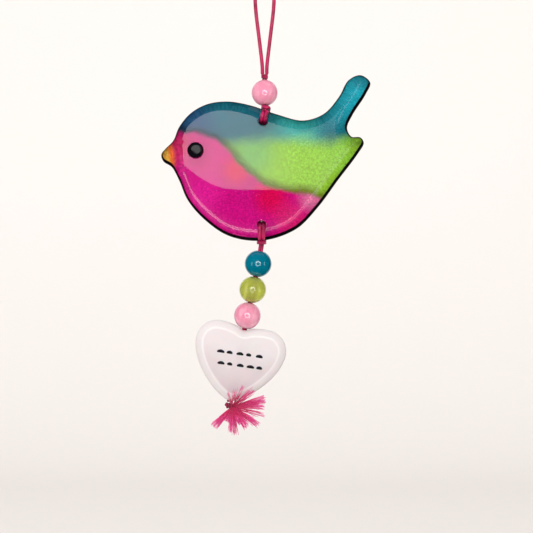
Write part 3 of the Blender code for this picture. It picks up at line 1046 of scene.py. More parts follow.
@dataclass
class HeldCord:
    """A cord that goes over the glass in a lark's head and runs on through the beads."""

    name: str
    node: str
    hitch_frame: Matrix
    rim: float
    line_frame: Matrix
    near: float
    far: float
    hitch_back: float = 4.0 * MM
    leg_aside: float = 0.7 * MM
    spread_radius: float = 0.88 * MM
    finish: Finish = SatinCord("Satin rattail hitch", "#A00E44", 0.26, shadow="#4A021E", lustre="#DA1E66")

    def hitch(self) -> list[tuple]:
        """Half of the lark's head, from the middle of its bridge to the leg's neck.

        Returns:
            (x, y, z, radius) points in the hitch's frame.
        """
        back, front = self.hitch_back, -self.hitch_back
        full, tight, broad = STRAND / 2, SQUEEZED / 2, self.spread_radius
        rim, beside = self.rim, self.leg_aside
        return [
            (0.0, -2.7 * MM, rim + 0.95 * MM, full),
            (-0.75 * MM, -2.5 * MM, rim + 1.0 * MM, full),
            (-1.3 * MM, -1.4 * MM, rim + 1.0 * MM, tight),
            (-1.38 * MM, 0.5 * MM, rim + 1.0 * MM, tight),
            (-1.38 * MM, 2.3 * MM, rim + 1.0 * MM, tight),
            (-1.3 * MM, back - 0.1 * MM, rim + 0.2 * MM, tight),
            (-1.05 * MM, back + 0.1 * MM, 0.7 * rim, full),
            (-0.9 * MM, back + 0.25 * MM, 1.3 * MM, broad),
            (-0.9 * MM, back + 0.35 * MM, -0.5 * MM, broad),
            (-0.88 * MM, back + 0.05 * MM, -1.2 * MM, broad),
            (-0.72 * MM, 0.62 * back, -0.8 * MM, broad),
            (-0.8 * MM, 0.1 * back, -0.5 * MM, broad),
            (-0.8 * MM, 0.45 * front, 0.1 * MM, full),
            (-beside, 0.8 * front, 0.62 * MM, full),
            (-beside, front - 0.2 * MM, 1.35 * MM, full),
            (-beside, front - 0.25 * MM, 2.4 * MM, full),
            (-beside, 0.8 * front, rim - 0.9 * MM, full),
            (-0.52 * MM, -1.7 * MM, rim + 0.1 * MM, tight),
            (-0.5 * MM, -0.7 * MM, rim + 1.1 * MM, tight),
        ]

    def route(self) -> list[Vector]:
        """The whole cord: one leg, the lark's head, and the other leg.

        Returns:
            (x, y, z, radius) points.
        """
        half = placed(self.hitch_frame, self.hitch())
        other = placed(self.hitch_frame, mirrored(self.hitch()))
        legs = []
        for side in (-1, 1):
            heights = (self.near, 0.5 * (self.near + self.far), self.far)
            leg = [(side * SIDE_SQUEEZED, 0.0, height, 1.04 * SQUEEZED / 2) for height in heights]
            legs.append(placed(self.line_frame, leg))
        left, right = legs if self.hitch_frame.col[0].x * self.line_frame.col[0].x > 0 else legs[::-1]
        return smooth_curve(right[::-1] + other[:-1] + half + left, 8)

    def build(self) -> bpy.types.Object:
        """Makes the cord."""
        return piece(self.name, braided_mesh(self.name, self.route()), self.finish, Slot.CORD, self.node)


@dataclass
class Bead:
    """A round pressed glass bead with a rounded mouth at each end of its bore."""

    name: str
    node: str
    centre: Vector
    lean: float
    finish: Finish
    slot: Slot
    size: float = 10.4 * MM
    bore: float = 2.85 * MM
    lip: float = 0.28 * MM
    segments: int = 56

    def profile(self) -> list[tuple[float, float]]:
        """Half of the bead's section, from its top mouth round the outside and back up the bore.

        Returns:
            (radius, height) points.
        """
        outside = self.size / 2
        mouth = pi / 2 - asin((self.bore + 2 * self.lip) / self.size)
        arc = [mouth * (1 - 2 * k / 32) for k in range(33)]
        points = [(outside * cos(angle), outside * sin(angle)) for angle in arc]
        top = outside * sin(mouth)
        bore, lip = self.bore / 2, self.lip
        low = [(bore + lip * (1 - sin(a)), -top + lip * (1 - cos(a))) for a in (0.5, 1.0, pi / 2)]
        return points + low + [(radius, -height) for radius, height in reversed(low)]

    def build(self) -> bpy.types.Object:
        """Makes the bead where its node is.

        Returns:
            The bead.
        """
        place = Matrix.Translation(self.centre) @ Matrix.Rotation(self.lean, 4, "Y")
        mesh = turned(self.name, self.profile(), self.segments, place)
        return piece(self.name, mesh, self.finish, self.slot, self.node)


@dataclass
class GlassBird:
    """The bird: a domed clear glass body, the enamel behind it, its dark edge line and its eye."""

    length: float = 80.5 * MM
    thickness: float = 6.0 * MM
    edge: float = 1.8 * MM
    shoulder: float = 3.2 * MM
    flat_shift: Vector = field(default_factory=lambda: Vector((-0.75 * MM, 0.3 * MM)))
    flat_start: float = -32.5 * MM
    flat_bow: float = 60 * MM
    bevel: float = 0.38
    crease: float = 0.13
    highlight_inset: float = 0.35
    crease_rings: tuple[float, ...] = (0.83, 0.88, 0.93, 0.97, 1.01, 1.05, 1.1, 1.16, 1.24, 1.32)
    beak_rows: tuple[float, float, float] = (-82.0, -49.0, 0.5)
    beak_columns: tuple[float, float, float] = (-1.2, 1.21, 0.3)
    front_spacing: float = 0.9 * MM
    back_spacing: float = 4 * MM
    rounding: float = 0.4 * MM
    half_rounded: float = 0.117 * MM
    sharp_from: float = 55
    hole: float = 3.65 * MM
    lip: float = 0.35 * MM
    lip_rings: tuple[float, ...] = (0.04 * MM, 0.12 * MM, 0.22 * MM, 0.36 * MM, 0.8 * MM)
    film_inset: float = 0.04 * MM
    film_depth: float = 0.45 * MM
    film_thickness: float = 0.05 * MM
    film_spacing: float = 0.45 * MM
    line_skin: float = 0.05 * MM
    line_thickness: float = 0.02 * MM
    # The black edge line, widened as painted shade where the edge faces down and to the right
    line_narrow: float = 0.32 * MM
    line_shade_widening: float = 0.85 * MM
    line_shaded_side: tuple[float, float] = (-0.35, 0.94)
    line_steps: tuple[float, ...] = (0.12, 0.4, 0.75, 1.0)
    # A dark sleeve in each cord hole, painted shade
    hole_shade_inset: float = 0.03 * MM
    hole_shade_short: float = 0.1 * MM
    # Painted highlight on the enamel: its least share on edges that face up, and how it falls off outside and
    # inside the flat's start
    highlight_least: float = 0.12
    highlight_outside: float = 0.25
    highlight_inside: float = 1.2
    eye_size: float = 6.3 * MM
    eye_height: float = 2.2 * MM
    eye_wall: float = 0.5 * MM
    eye_foot: float = 0.1 * MM
    eye_flat: float = 0.76
    eye_gap: float = 0.01 * MM
    eye_segments: int = 48
    eye_crown: float = 85 * MM
    outline: tuple[tuple[float, float], ...] = (
        (0.000, 0.000), (0.020, 0.028), (0.057, 0.066), (0.086, 0.133), (0.142, 0.199), (0.219, 0.241),
        (0.315, 0.254), (0.425, 0.236), (0.549, 0.194), (0.679, 0.163), (0.780, 0.196), (0.851, 0.276),
        (0.897, 0.356), (0.954, 0.380), (1.000, 0.345), (0.978, 0.289), (0.916, 0.192), (0.889, 0.127),
        (0.910, 0.086), (0.953, 0.082), (0.969, 0.056), (0.938, 0.001), (0.847, -0.120), (0.746, -0.256),
        (0.645, -0.356), (0.483, -0.411), (0.324, -0.389), (0.205, -0.309), (0.126, -0.217), (0.086, -0.124),
        (0.049, -0.058), (0.010, -0.032),
    )
    wing_line: tuple[tuple[float, float], ...] = (
        (-48, -56.8), (-33.3, -56.6), (-24.9, -56.8), (-19.1, -58.5), (-14.1, -62.8), (-9.5, -68.5),
        (-3.7, -73.6), (4.0, -77.4), (13.6, -79.3), (22.1, -80.5), (34, -82.5),
    )
    back_line: tuple[tuple[float, float], ...] = (
        (-30, -62.0), (-15.2, -59.4), (-1.8, -58.2), (13.6, -57.8), (25.0, -58.6), (31.0, -57.6), (42, -54.0),
    )
    beak_line: tuple[tuple[float, float], ...] = (
        (-37.5, -57.5), (-36.0, -61.2), (-34.9, -64.8), (-34.2, -67.3), (-34.6, -69.2), (-36.0, -71.5),
        (-38.5, -74.0),
    )
    glass: Finish = Finish("Clear cast glass", "#FFFFFF", 0.015, ior=1.5, transmission=1.0)
    enamel: Finish = StainedEnamel("Stained glass enamel", "#CE0F7C", 0.6, specular=0.0)
    # The edge line's finish; its wider parts are painted shade
    line: Finish = GlossyBlack("Fired black edge line", "#0E060C", 0.5, specular=0.15)
    eye: Finish = GlossyBlack("Black glass cabochon", "#0B0A0E", 0.05, specular=0.3)

    def edge_points(self) -> list[Vector]:
        """The bird's outline in the row frame, clockwise."""
        shares = smooth_curve(self.outline, 16, closed=True)
        return [BEAK_TIP + point for point in spaced([self.length * point for point in shares], 520)]

    def holes(self, radius: float) -> list[Round]:
        """The two cord holes, of a given radius."""
        return [Round(TOP_HOLE, radius), Round(BOTTOM_HOLE, radius)]

    def flat_side(self, height: np.ndarray) -> np.ndarray:
        """Where along X the flat of the front begins beside the beak, at each height."""
        return self.flat_start + (height - EYE.y) ** 2 / self.flat_bow

    def within_flat(self, places: np.ndarray, outline: list[Vector]) -> np.ndarray:
        """How far each place lies inside the flat of the front, negative on the shoulder and the beak."""
        inside = depths(places - np.array(tuple(self.flat_shift)), outline) - self.shoulder
        return np.minimum(inside, places[:, 0] - self.flat_side(places[:, 1]))

    def rise(self, places: np.ndarray, outline: list[Vector]) -> np.ndarray:
        """How high the glass stands over the plane of its front edge, lips of the holes included.

        Args:
            places: an array of (x, z) places.
            outline: the bird's outline.

        Returns:
            The heights.
        """
        away = np.maximum(depths(places, outline), 0.0)
        width = np.maximum(away - self.within_flat(places, outline), 1e-9)
        share = away / width
        bulge = np.sqrt(np.maximum(0.0, 1 - (1 - np.minimum(1.0, share)) ** 2))
        raw = (1 - self.bevel) * bulge + self.bevel * np.minimum(share, 1 + away / self.shoulder)
        crease = self.crease * np.minimum(1.0, self.shoulder / width)
        blend = np.clip(0.5 + 0.5 * (1 - raw) / crease, 0.0, 1.0)
        height = (self.thickness - self.edge) * (1 + (raw - 1) * blend - crease * blend * (1 - blend))
        for hole in self.holes(self.hole / 2):
            apart = np.hypot(places[:, 0] - hole.centre.x, places[:, 1] - hole.centre.y) - hole.radius
            near = np.clip(apart / self.lip, 0.0, 1.0)
            height -= self.lip * (1 - np.sqrt(1 - (1 - near) ** 2))
        return height

    def front_points(self, outline: list[Vector], holes: list[Round]) -> list[Vector]:
        """Points for the front's triangles, close together where the shoulder turns into the flat.

        Args:
            outline: the bird's outline.
            holes: the cord holes.

        Returns:
            The points.
        """
        points = []
        for ring in range(1, 10):
            share = 1 - cos(ring / 10.5 * pi / 2)
            every = 1 if ring < 7 else 2
            points += inset_points(outline, share * self.shoulder, every, share * self.flat_shift)
        for share in self.crease_rings:
            points += inset_points(outline, share * self.shoulder, 1, self.flat_shift)
        heights = np.arange(*self.beak_rows) * MM
        for aside in np.arange(*self.beak_columns) * MM:
            row = np.column_stack([self.flat_side(heights) + aside, heights])
            points += [Vector(place) for place in row[depths(row, outline) > 1.34 * self.shoulder]]
        grid = as_array(grid_points(outline, self.front_spacing, 0.6 * self.shoulder))
        inside = self.within_flat(grid, outline)
        beside = (inside < -1.4 * MM) & (depths(grid, outline) > 1.4 * self.shoulder)
        points += [Vector(place) for place in grid[(inside > 0.38 * self.shoulder) | beside]]
        for wider in self.lip_rings:
            points += [point for hole in holes for point in hole.rim(wider)]
        return points

    def body(self) -> bpy.types.Mesh:
        """The glass body with both faces, its side and its holes.

        Returns:
            The mesh.
        """
        outline, half = self.edge_points(), self.thickness / 2
        holes = self.holes(self.hole / 2)
        shape = filled(outline, holes, self.front_points(outline, holes))
        for corner, height in zip(shape.verts, self.rise(front_view(shape.verts), outline)):
            corner.co.y = half - self.edge - height
        ring = rim_ring(shape, outline)
        steps = ((0.0, self.rounding), (self.half_rounded, self.half_rounded), (self.rounding, 0.0))
        for inset, before_back in steps:
            side = moved_in(outline, inset)
            ring = next_ring(shape, ring, [(point.x, half - before_back, point.y) for point in side])
        back_edge = moved_in(outline, self.rounding)
        back = filled(back_edge, holes, grid_points(outline, self.back_spacing, self.back_spacing / 2))
        bmesh.ops.translate(back, verts=back.verts, vec=(0.0, half, 0.0))
        spare = plain_mesh("spare", back)
        shape.from_mesh(spare)
        bpy.data.meshes.remove(spare)
        bmesh.ops.remove_doubles(shape, verts=shape.verts, dist=WELD)
        for hole in holes:
            open_edges = [edge for edge in shape.edges if edge.is_boundary]
            rims = [edge for edge in open_edges if (edge.verts[0].co.xz - hole.centre).length < self.hole]
            bmesh.ops.bridge_loops(shape, edges=rims)
        data = mesh_of("bird_glass", shape, self.sharp_from)
        self.even_normals(data, outline)
        return data

    def even_normals(self, data: bpy.types.Mesh, outline: list[Vector]) -> None:
        """Gives the front the normals of its exact shape, so that its triangles show in no reflection.

        Args:
            data: the glass body's mesh.
            outline: the bird's outline.
        """
        corners = np.array([tuple(corner.co) for corner in data.vertices])
        places = corners[:, [0, 2]]
        front = corners[:, 1] < self.thickness / 2 - self.edge - 1e-6
        for hole in self.holes(self.hole / 2 + self.lip):
            front &= np.hypot(places[:, 0] - hole.centre.x, places[:, 1] - hole.centre.y) > hole.radius
        normals = np.zeros_like(corners)
        step = 0.02 * MM
        for axis, shift in ((0, np.array((step, 0.0))), (2, np.array((0.0, step)))):
            ahead, behind = (self.rise(places[front] + way * shift, outline) for way in (1, -1))
            normals[front, axis] = (behind - ahead) / (2 * step)
        normals[front, 1] = -1.0
        normals[front] /= np.linalg.norm(normals[front], axis=1)[:, None]
        data.normals_split_custom_set_from_vertices(normals)

    def film(self) -> bpy.types.Mesh:
        """The enamel: a fine sheet just inside the glass's back, which knows how far each colour line is and
        how strongly the painted highlight shows.

        Returns:
            The mesh.
        """
        outline = self.edge_points()
        holes = self.holes(self.hole / 2 + self.film_inset)
        inner = grid_points(outline, self.film_spacing, self.film_spacing)
        shape = filled(moved_in(outline, self.film_inset), holes, inner)
        bmesh.ops.translate(shape, verts=shape.verts, vec=(0.0, self.thickness / 2 - self.film_depth, 0.0))
        bmesh.ops.solidify(shape, geom=shape.faces[:], thickness=self.film_thickness)
        data = mesh_of("bird_enamel", shape, 40)
        places = front_view(data.vertices) / MM
        for name, points, side_meant in (
            ("wing_line", self.wing_line, 1.0),
            ("back_line", self.back_line, 1.0),
            ("beak_line", self.beak_line, -1.0),
        ):
            away, side = line_distances(places, as_array(smooth_curve(points, 8)))
            hold_numbers(data, name, away * side * side_meant)
        hold_numbers(data, "painted_shoulder_highlight", self.painted_shoulder_highlight(places * MM, outline))
        return data

    def painted_shoulder_highlight(self, places: np.ndarray, outline: list[Vector]) -> np.ndarray:
        """How strongly the painted highlight lightens the enamel where the flat of the front begins, most
        along belly and wing.

        Args:
            places: an array of (x, z) places.
            outline: the bird's outline.

        Returns:
            Numbers from 0 to 1.
        """
        inside = self.within_flat(places, outline) / MM - self.highlight_inset
        step = 0.2 * MM
        upwards = (depths(places, outline) - depths(places + np.array((0.0, step)), outline)) / step
        facing = self.highlight_least + (1 - self.highlight_least) * np.clip(0.15 - 1.1 * upwards, 0.0, 1.0)
        outer, inner = np.exp(-((inside / self.highlight_outside) ** 2)), np.exp(-inside / self.highlight_inside)
        return facing * np.where(inside < 0, outer, inner)

    def edge_line(self) -> bpy.types.Mesh:
        """The dark line round the side, which comes further over the shoulder at the beak, belly and right,
        as painted shade on the edges that face down and to the right.

        Returns:
            The mesh, with a dark sleeve in both holes as painted shade.
        """
        outline, half, skin = self.edge_points(), self.thickness / 2, self.line_skin
        ways = inwards(outline)
        shape = bmesh.new()
        around = moved_in(outline, -skin)
        ring = open_ring(shape, [(point.x, half - self.rounding, point.y) for point in around])
        ring = next_ring(shape, ring, [(point.x, half - self.edge, point.y) for point in around])
        # Painted shade: the line widens where the edge faces down and to the right
        shaded_side = Vector(self.line_shaded_side).normalized()
        widths = [self.line_narrow + self.line_shade_widening * (0.5 + 0.5 * way.dot(shaded_side)) for way in ways]
        for share in self.line_steps:
            line = [point + share * width * way for point, way, width in zip(outline, ways, widths)]
            over = skin if share < 1 else -0.5 * skin
            places = []
            for point, way, height in zip(line, ways, self.rise(as_array(line), outline)):
                aside = point - 0.6 * over * way
                places.append((aside.x, half - self.edge - height - over, aside.y))
            ring = next_ring(shape, ring, places)
        # Painted shade: a dark sleeve inside each cord hole, where the holes lie in shade
        end = half - self.hole_shade_short
        for hole in self.holes(self.hole / 2 - self.hole_shade_inset):
            front = open_ring(shape, [(point.x, -end, point.y) for point in hole.rim()])
            next_ring(shape, front, [(point.x, end, point.y) for point in hole.rim()])
        bmesh.ops.recalc_face_normals(shape, faces=shape.faces)
        bmesh.ops.solidify(shape, geom=shape.faces[:], thickness=self.line_thickness)
        return mesh_of("bird_edge_line", shape)

    def eye_mesh(self) -> bpy.types.Mesh:
        """A low cabochon with a broad, almost flat crown, set on the glass.

        Returns:
            The mesh.
        """
        radius, high, low = self.eye_size / 2, self.eye_height, self.eye_wall
        flat = self.eye_flat * radius
        profile = [(0.0, 0.0), (radius - self.eye_foot, 0.0), (radius, self.eye_foot)]
        for step in range(12):
            angle = step / 12 * pi / 2
            profile.append((flat + (radius - flat) * cos(angle), low + (high - low) * sin(angle)))
        for share in (1.0, 0.66, 0.33, 0.0):
            profile.append((share * flat, high + flat**2 * (1 - share**2) / (2 * self.eye_crown)))
        seat = Matrix.Translation((EYE.x, -self.thickness / 2 - self.eye_gap, EYE.y))
        return turned("bird_eye", profile, self.eye_segments, seat @ Matrix.Rotation(pi / 2, 4, "X"))

    def build(self) -> bpy.types.Object:
        """Makes the glass, the enamel, the edge line and the eye.

        Returns:
            The glass.
        """
        glass = piece("bird_glass", self.body(), self.glass, Slot.STAINED, "bird")
        piece("bird_enamel", self.film(), self.enamel, Slot.STAINED)
        piece("bird_edge_line", self.edge_line(), self.line, Slot.BLACK)
        piece("bird_eye", self.eye_mesh(), self.eye, Slot.BLACK, "eye")
        return glass


@dataclass
class FrostedHeart:
    """The heart: frosted glass domed on both faces, bored from notch to tip, with two rows of ink strokes."""

    below: float = 32.4 * MM
    width: float = 35.1 * MM
    thickness: float = 7.0 * MM
    edge: float = 3.0 * MM
    shoulder: float = 3.0 * MM
    bevel: float = 0.35
    bore: float = 2.85 * MM
    front_spacing: float = 0.9 * MM
    sharp_from: float = 60
    stroke_rows: tuple[tuple[float, float], ...] = ((-8.9, 0.0), (-8.1, -4.4))
    stroke_lengths: tuple[float, ...] = (2.9, 2.2, 2.7, 1.9, 2.6)
    stroke_spacing: float = 3.75
    stroke_tilt: float = radians(-8)
    strokes_at: tuple[float, float] = (-9.4, -141.3)
    stroke_relief: float = 0.12
    half_outline: tuple[tuple[float, float], ...] = (
        (0.000, -0.006), (0.082, 0.024), (0.219, 0.047), (0.351, 0.034), (0.455, -0.044), (0.500, -0.164),
        (0.482, -0.296), (0.411, -0.450), (0.291, -0.603), (0.143, -0.729), (0.000, -0.790),
    )
    glass: Finish = FrostedGlass(
        "Frosted opal glass", "#DED6D7", 0.4, ior=1.5, transmission=0.2, subsurface=0.3
    )
    ink: Finish = GlossyBlack("Black ceramic ink", "#17131A", 0.45)

    @property
    def place(self) -> Matrix:
        """Where the heart's notch is."""
        return STRING @ Matrix.Translation((0.0, 0.0, -self.below))

    def edge_points(self) -> list[Vector]:
        """The outline from the notch, clockwise seen from the front.

        Returns:
            The points, in the heart's own frame.
        """
        left = tuple((-across, along) for across, along in self.half_outline[-2:0:-1])
        shares = smooth_curve(self.half_outline + left, 12, closed=True)
        return spaced([self.width * point for point in shares], 260)

    def body(self) -> bpy.types.Mesh:
        """The domed glass, mirrored front to back and bored.

        Returns:
            The mesh.
        """
        outline, half = self.edge_points(), self.thickness / 2
        inner = []
        for ring in range(1, 10):
            inner += inset_points(outline, self.shoulder * (1 - cos(ring / 9 * pi / 2)))
        inner += inset_points(outline, 1.05 * self.shoulder) + inset_points(outline, 1.15 * self.shoulder)
        inner += grid_points(outline, self.front_spacing, 1.2 * self.shoulder)
        shape = filled(outline, [], inner)
        away, _ = line_distances(front_view(shape.verts), closed_line(outline))
        share = np.minimum(1.0, away / self.shoulder)
        bulge = (1 - self.bevel) * np.sqrt(np.maximum(0.0, 1 - (1 - share) ** 2)) + self.bevel * share
        heights = self.edge / 2 + (half - self.edge / 2) * bulge
        for corner, height in zip(shape.verts, heights):
            corner.co.y = -height
        ring = rim_ring(shape, outline)
        next_ring(shape, ring, [(point.x, 0.0, point.y) for point in outline])
        front = shape.verts[:] + shape.edges[:] + shape.faces[:]
        bmesh.ops.mirror(shape, geom=front, axis="Y", merge_dist=WELD)
        bmesh.ops.transform(shape, matrix=self.place, verts=shape.verts)
        blank = added("heart_blank", mesh_of("heart_glass", shape, self.sharp_from))
        drill = bmesh.new()
        bmesh.ops.create_cone(
            drill,
            cap_ends=True,
            segments=32,
            radius1=self.bore / 2,
            radius2=self.bore / 2,
            depth=3 * self.width,
            matrix=self.place,
        )
        bit = added("heart_bit", mesh_of("heart_bit", drill, 40))
        cut = blank.modifiers.new("bore", "BOOLEAN")
        cut.object = bit
        cut.operation = "DIFFERENCE"
        solid = blank.evaluated_get(bpy.context.evaluated_depsgraph_get())
        data = bpy.data.meshes.new_from_object(solid)
        for helper in (blank, bit):
            bpy.data.objects.remove(helper)
        data.materials.clear()
        data.name = "heart_glass"
        data.set_sharp_from_angle(angle=radians(self.sharp_from))
        upright = self.place.inverted()
        local = [(upright @ corner.co).xz for corner in data.vertices]
        hold_numbers(data, "rim_depth", depths(as_array(local), outline) / MM)
        return data

    def strokes(self) -> bpy.types.Mesh:
        """Two short rows of brush dashes in ceramic ink, on the flat of the front.

        Returns:
            The mesh.
        """
        face, tilt = -self.thickness / 2, self.stroke_tilt
        routes = []
        for row, (start, drop) in enumerate(self.stroke_rows):
            for index in range(len(self.stroke_lengths)):
                length = self.stroke_lengths[(index + 2 * row) % len(self.stroke_lengths)]
                route = []
                for step in range(9):
                    swell = sin(pi * step / 8)
                    x = start + self.stroke_spacing * index + length * step / 8
                    z = drop + 0.35 * swell
                    across = (x * cos(tilt) - z * sin(tilt) + self.strokes_at[0]) * MM
                    height = (x * sin(tilt) + z * cos(tilt) + self.strokes_at[1]) * MM
                    route.append(Vector((across, face, height, (0.2 + 0.42 * swell**0.6) * MM)))
                routes.append(route)
        data = cord_mesh("heart_strokes", routes, 8)
        for corner in data.vertices:
            corner.co.y = face + self.stroke_relief * (corner.co.y - face)
        return data

    def build(self) -> bpy.types.Object:
        """Makes the glass and the ink.

        Returns:
            The glass.
        """
        glass = piece("heart_glass", self.body(), self.glass, Slot.FROSTED, "heart")
        piece("heart_strokes", self.strokes(), self.ink, Slot.BLACK)
        return glass


@dataclass
class Bunch:
    """One bunch of the frayed end, in degrees and millimetres.

    The angle is its direction in the front view, from +X, and forward is its lean to the front.
    """

    angle: float
    forward: float
    length: float
    width: float


@dataclass
class FrayedEnd:
    """The knot under the heart and the loose fibres that fan out from it."""

    below: float = 62.229 * MM
    hub: Vector = field(default_factory=lambda: Vector((1.6 * MM, -0.7 * MM, -0.2 * MM)))
    fibre: float = 0.11 * MM
    fibre_taper: float = 0.45
    wave_height: float = 0.16 * MM
    root_width: float = 0.8
    cuts: tuple[float, ...] = (1.0, 0.97, 0.92, 0.85, 0.6)
    knot_turns: float = 3.1
    knot_from: float = -1.05
    knot_width: float = 3.2
    knot_reach: float = 0.62
    knot_swell: float = 0.15
    knot_cord: float = 0.48 * MM
    bunches: tuple[Bunch, ...] = (
        Bunch(14, 6, 13.2, 2.1),
        Bunch(4, 10, 12.4, 0.8),
        Bunch(33, 20, 11.5, 0.4),
        Bunch(47, 26, 12.4, 0.3),
        Bunch(61, 34, 11.6, 0.22),
        Bunch(75, 38, 10.2, 0.2),
        Bunch(96, 44, 9.4, 0.14),
        Bunch(-15, 8, 12.8, 0.8),
        Bunch(-26, 12, 10.0, 0.4),
        Bunch(-37, 12, 12.4, 1.7),
        Bunch(-50, 16, 9.8, 1.6),
        Bunch(-64, 10, 7.5, 2.2),
        Bunch(-80, 6, 10.6, 1.5),
        Bunch(-96, 14, 9.8, 1.3),
        Bunch(-113, 8, 6.2, 1.4),
        Bunch(-132, 8, 10.4, 2.3),
    )
    fluff: Finish = FibreFluff("Loose rayon fibres", "#E2286E", 0.5, sheen=0.2)
    # The end knot's finish is the cord's satin in darker colours: painted shade of its tight turns
    dark: Finish = SatinCord(
        "Satin rattail end knot", "#8A1238", 0.42, sheen=0.3, shadow="#5E0A28", lustre="#B0184C"
    )

    @property
    def place(self) -> Matrix:
        """Where the end knot is, upright in the row frame."""
        return Matrix.Translation((STRING @ Matrix.Translation((0.0, 0.0, -self.below))).translation)

    def fibres(self) -> bpy.types.Mesh:
        """Fibres in bunches, each with its own bend, so that the bunches open towards their ends.

        Returns:
            The mesh.
        """
        chance = Random(11)
        start = self.place @ (Matrix.Rotation(STRING_LEAN, 4, "Y") @ self.hub)
        routes = []
        for bunch in self.bunches:
            angle, lean = radians(bunch.angle), radians(bunch.forward)
            along = Vector((cos(angle) * cos(lean), -sin(lean), sin(angle) * cos(lean)))
            across = Vector((-sin(angle), 0.0, cos(angle)))
            depth = along.cross(across)
            bend = chance.uniform(-0.9, 0.9)
            for _ in range(int(3 + 32 * bunch.width)):
                spread, level = chance.uniform(-0.5, 0.5), chance.gauss(0.0, 0.3)
                cut = chance.choice(self.cuts)
                length = bunch.length * MM * cut * chance.uniform(0.95, 1.03)
                curl, phase = chance.uniform(-0.5, 0.5), chance.uniform(0, 2 * pi)
                route = []
                for step in range(8):
                    share = step / 7
                    wave = self.wave_height * sin(phase + 5 * share) * share
                    opened = (self.root_width + share * bunch.width) * spread * MM
                    side = opened + (0.9 * curl + bend) * share**2 * MM + wave
                    sink = (0.4 + 0.75 * share) * level * MM + wave
                    point = start + along * length * share + across * side + depth * sink
                    route.append(Vector((*point, self.fibre * (1.0 - self.fibre_taper * share))))
                routes.append(route)
        return cord_mesh("end_fibres", routes, 4)

    def knot(self) -> bpy.types.Mesh:
        """The end knot: turns of squeezed cord beside the fibres' root.

        Returns:
            The mesh.
        """
        centre = self.place.translation
        points = []
        for step in range(61):
            turn = step / 60
            angle = 2 * pi * self.knot_turns * turn
            x = (self.knot_from + self.knot_width * turn) * MM
            reach = (self.knot_reach + self.knot_swell * sin(pi * turn)) * MM
            points.append(Vector((x, reach * cos(angle), reach * sin(angle), self.knot_cord)))
        lean = Matrix.Rotation(STRING_LEAN, 4, "Y")
        route = [Vector((*(centre + lean @ point.xyz), point[3])) for point in points]
        return braided_mesh("end_knot", route, 12)

    def build(self) -> None:
        """Makes the knot and the fibres."""
        piece("end_knot", self.knot(), self.dark, Slot.CORD, "frayed_end")
        piece("end_fibres", self.fibres(), self.fluff, Slot.CORD, "frayed_end")


@dataclass(frozen=True)
class Softbox:
    """A rectangular softbox that no reflection sees, with its width and height, and its power in watts."""

    name: str
    place: tuple[float, float, float]
    size: tuple[float, float]
    power: float


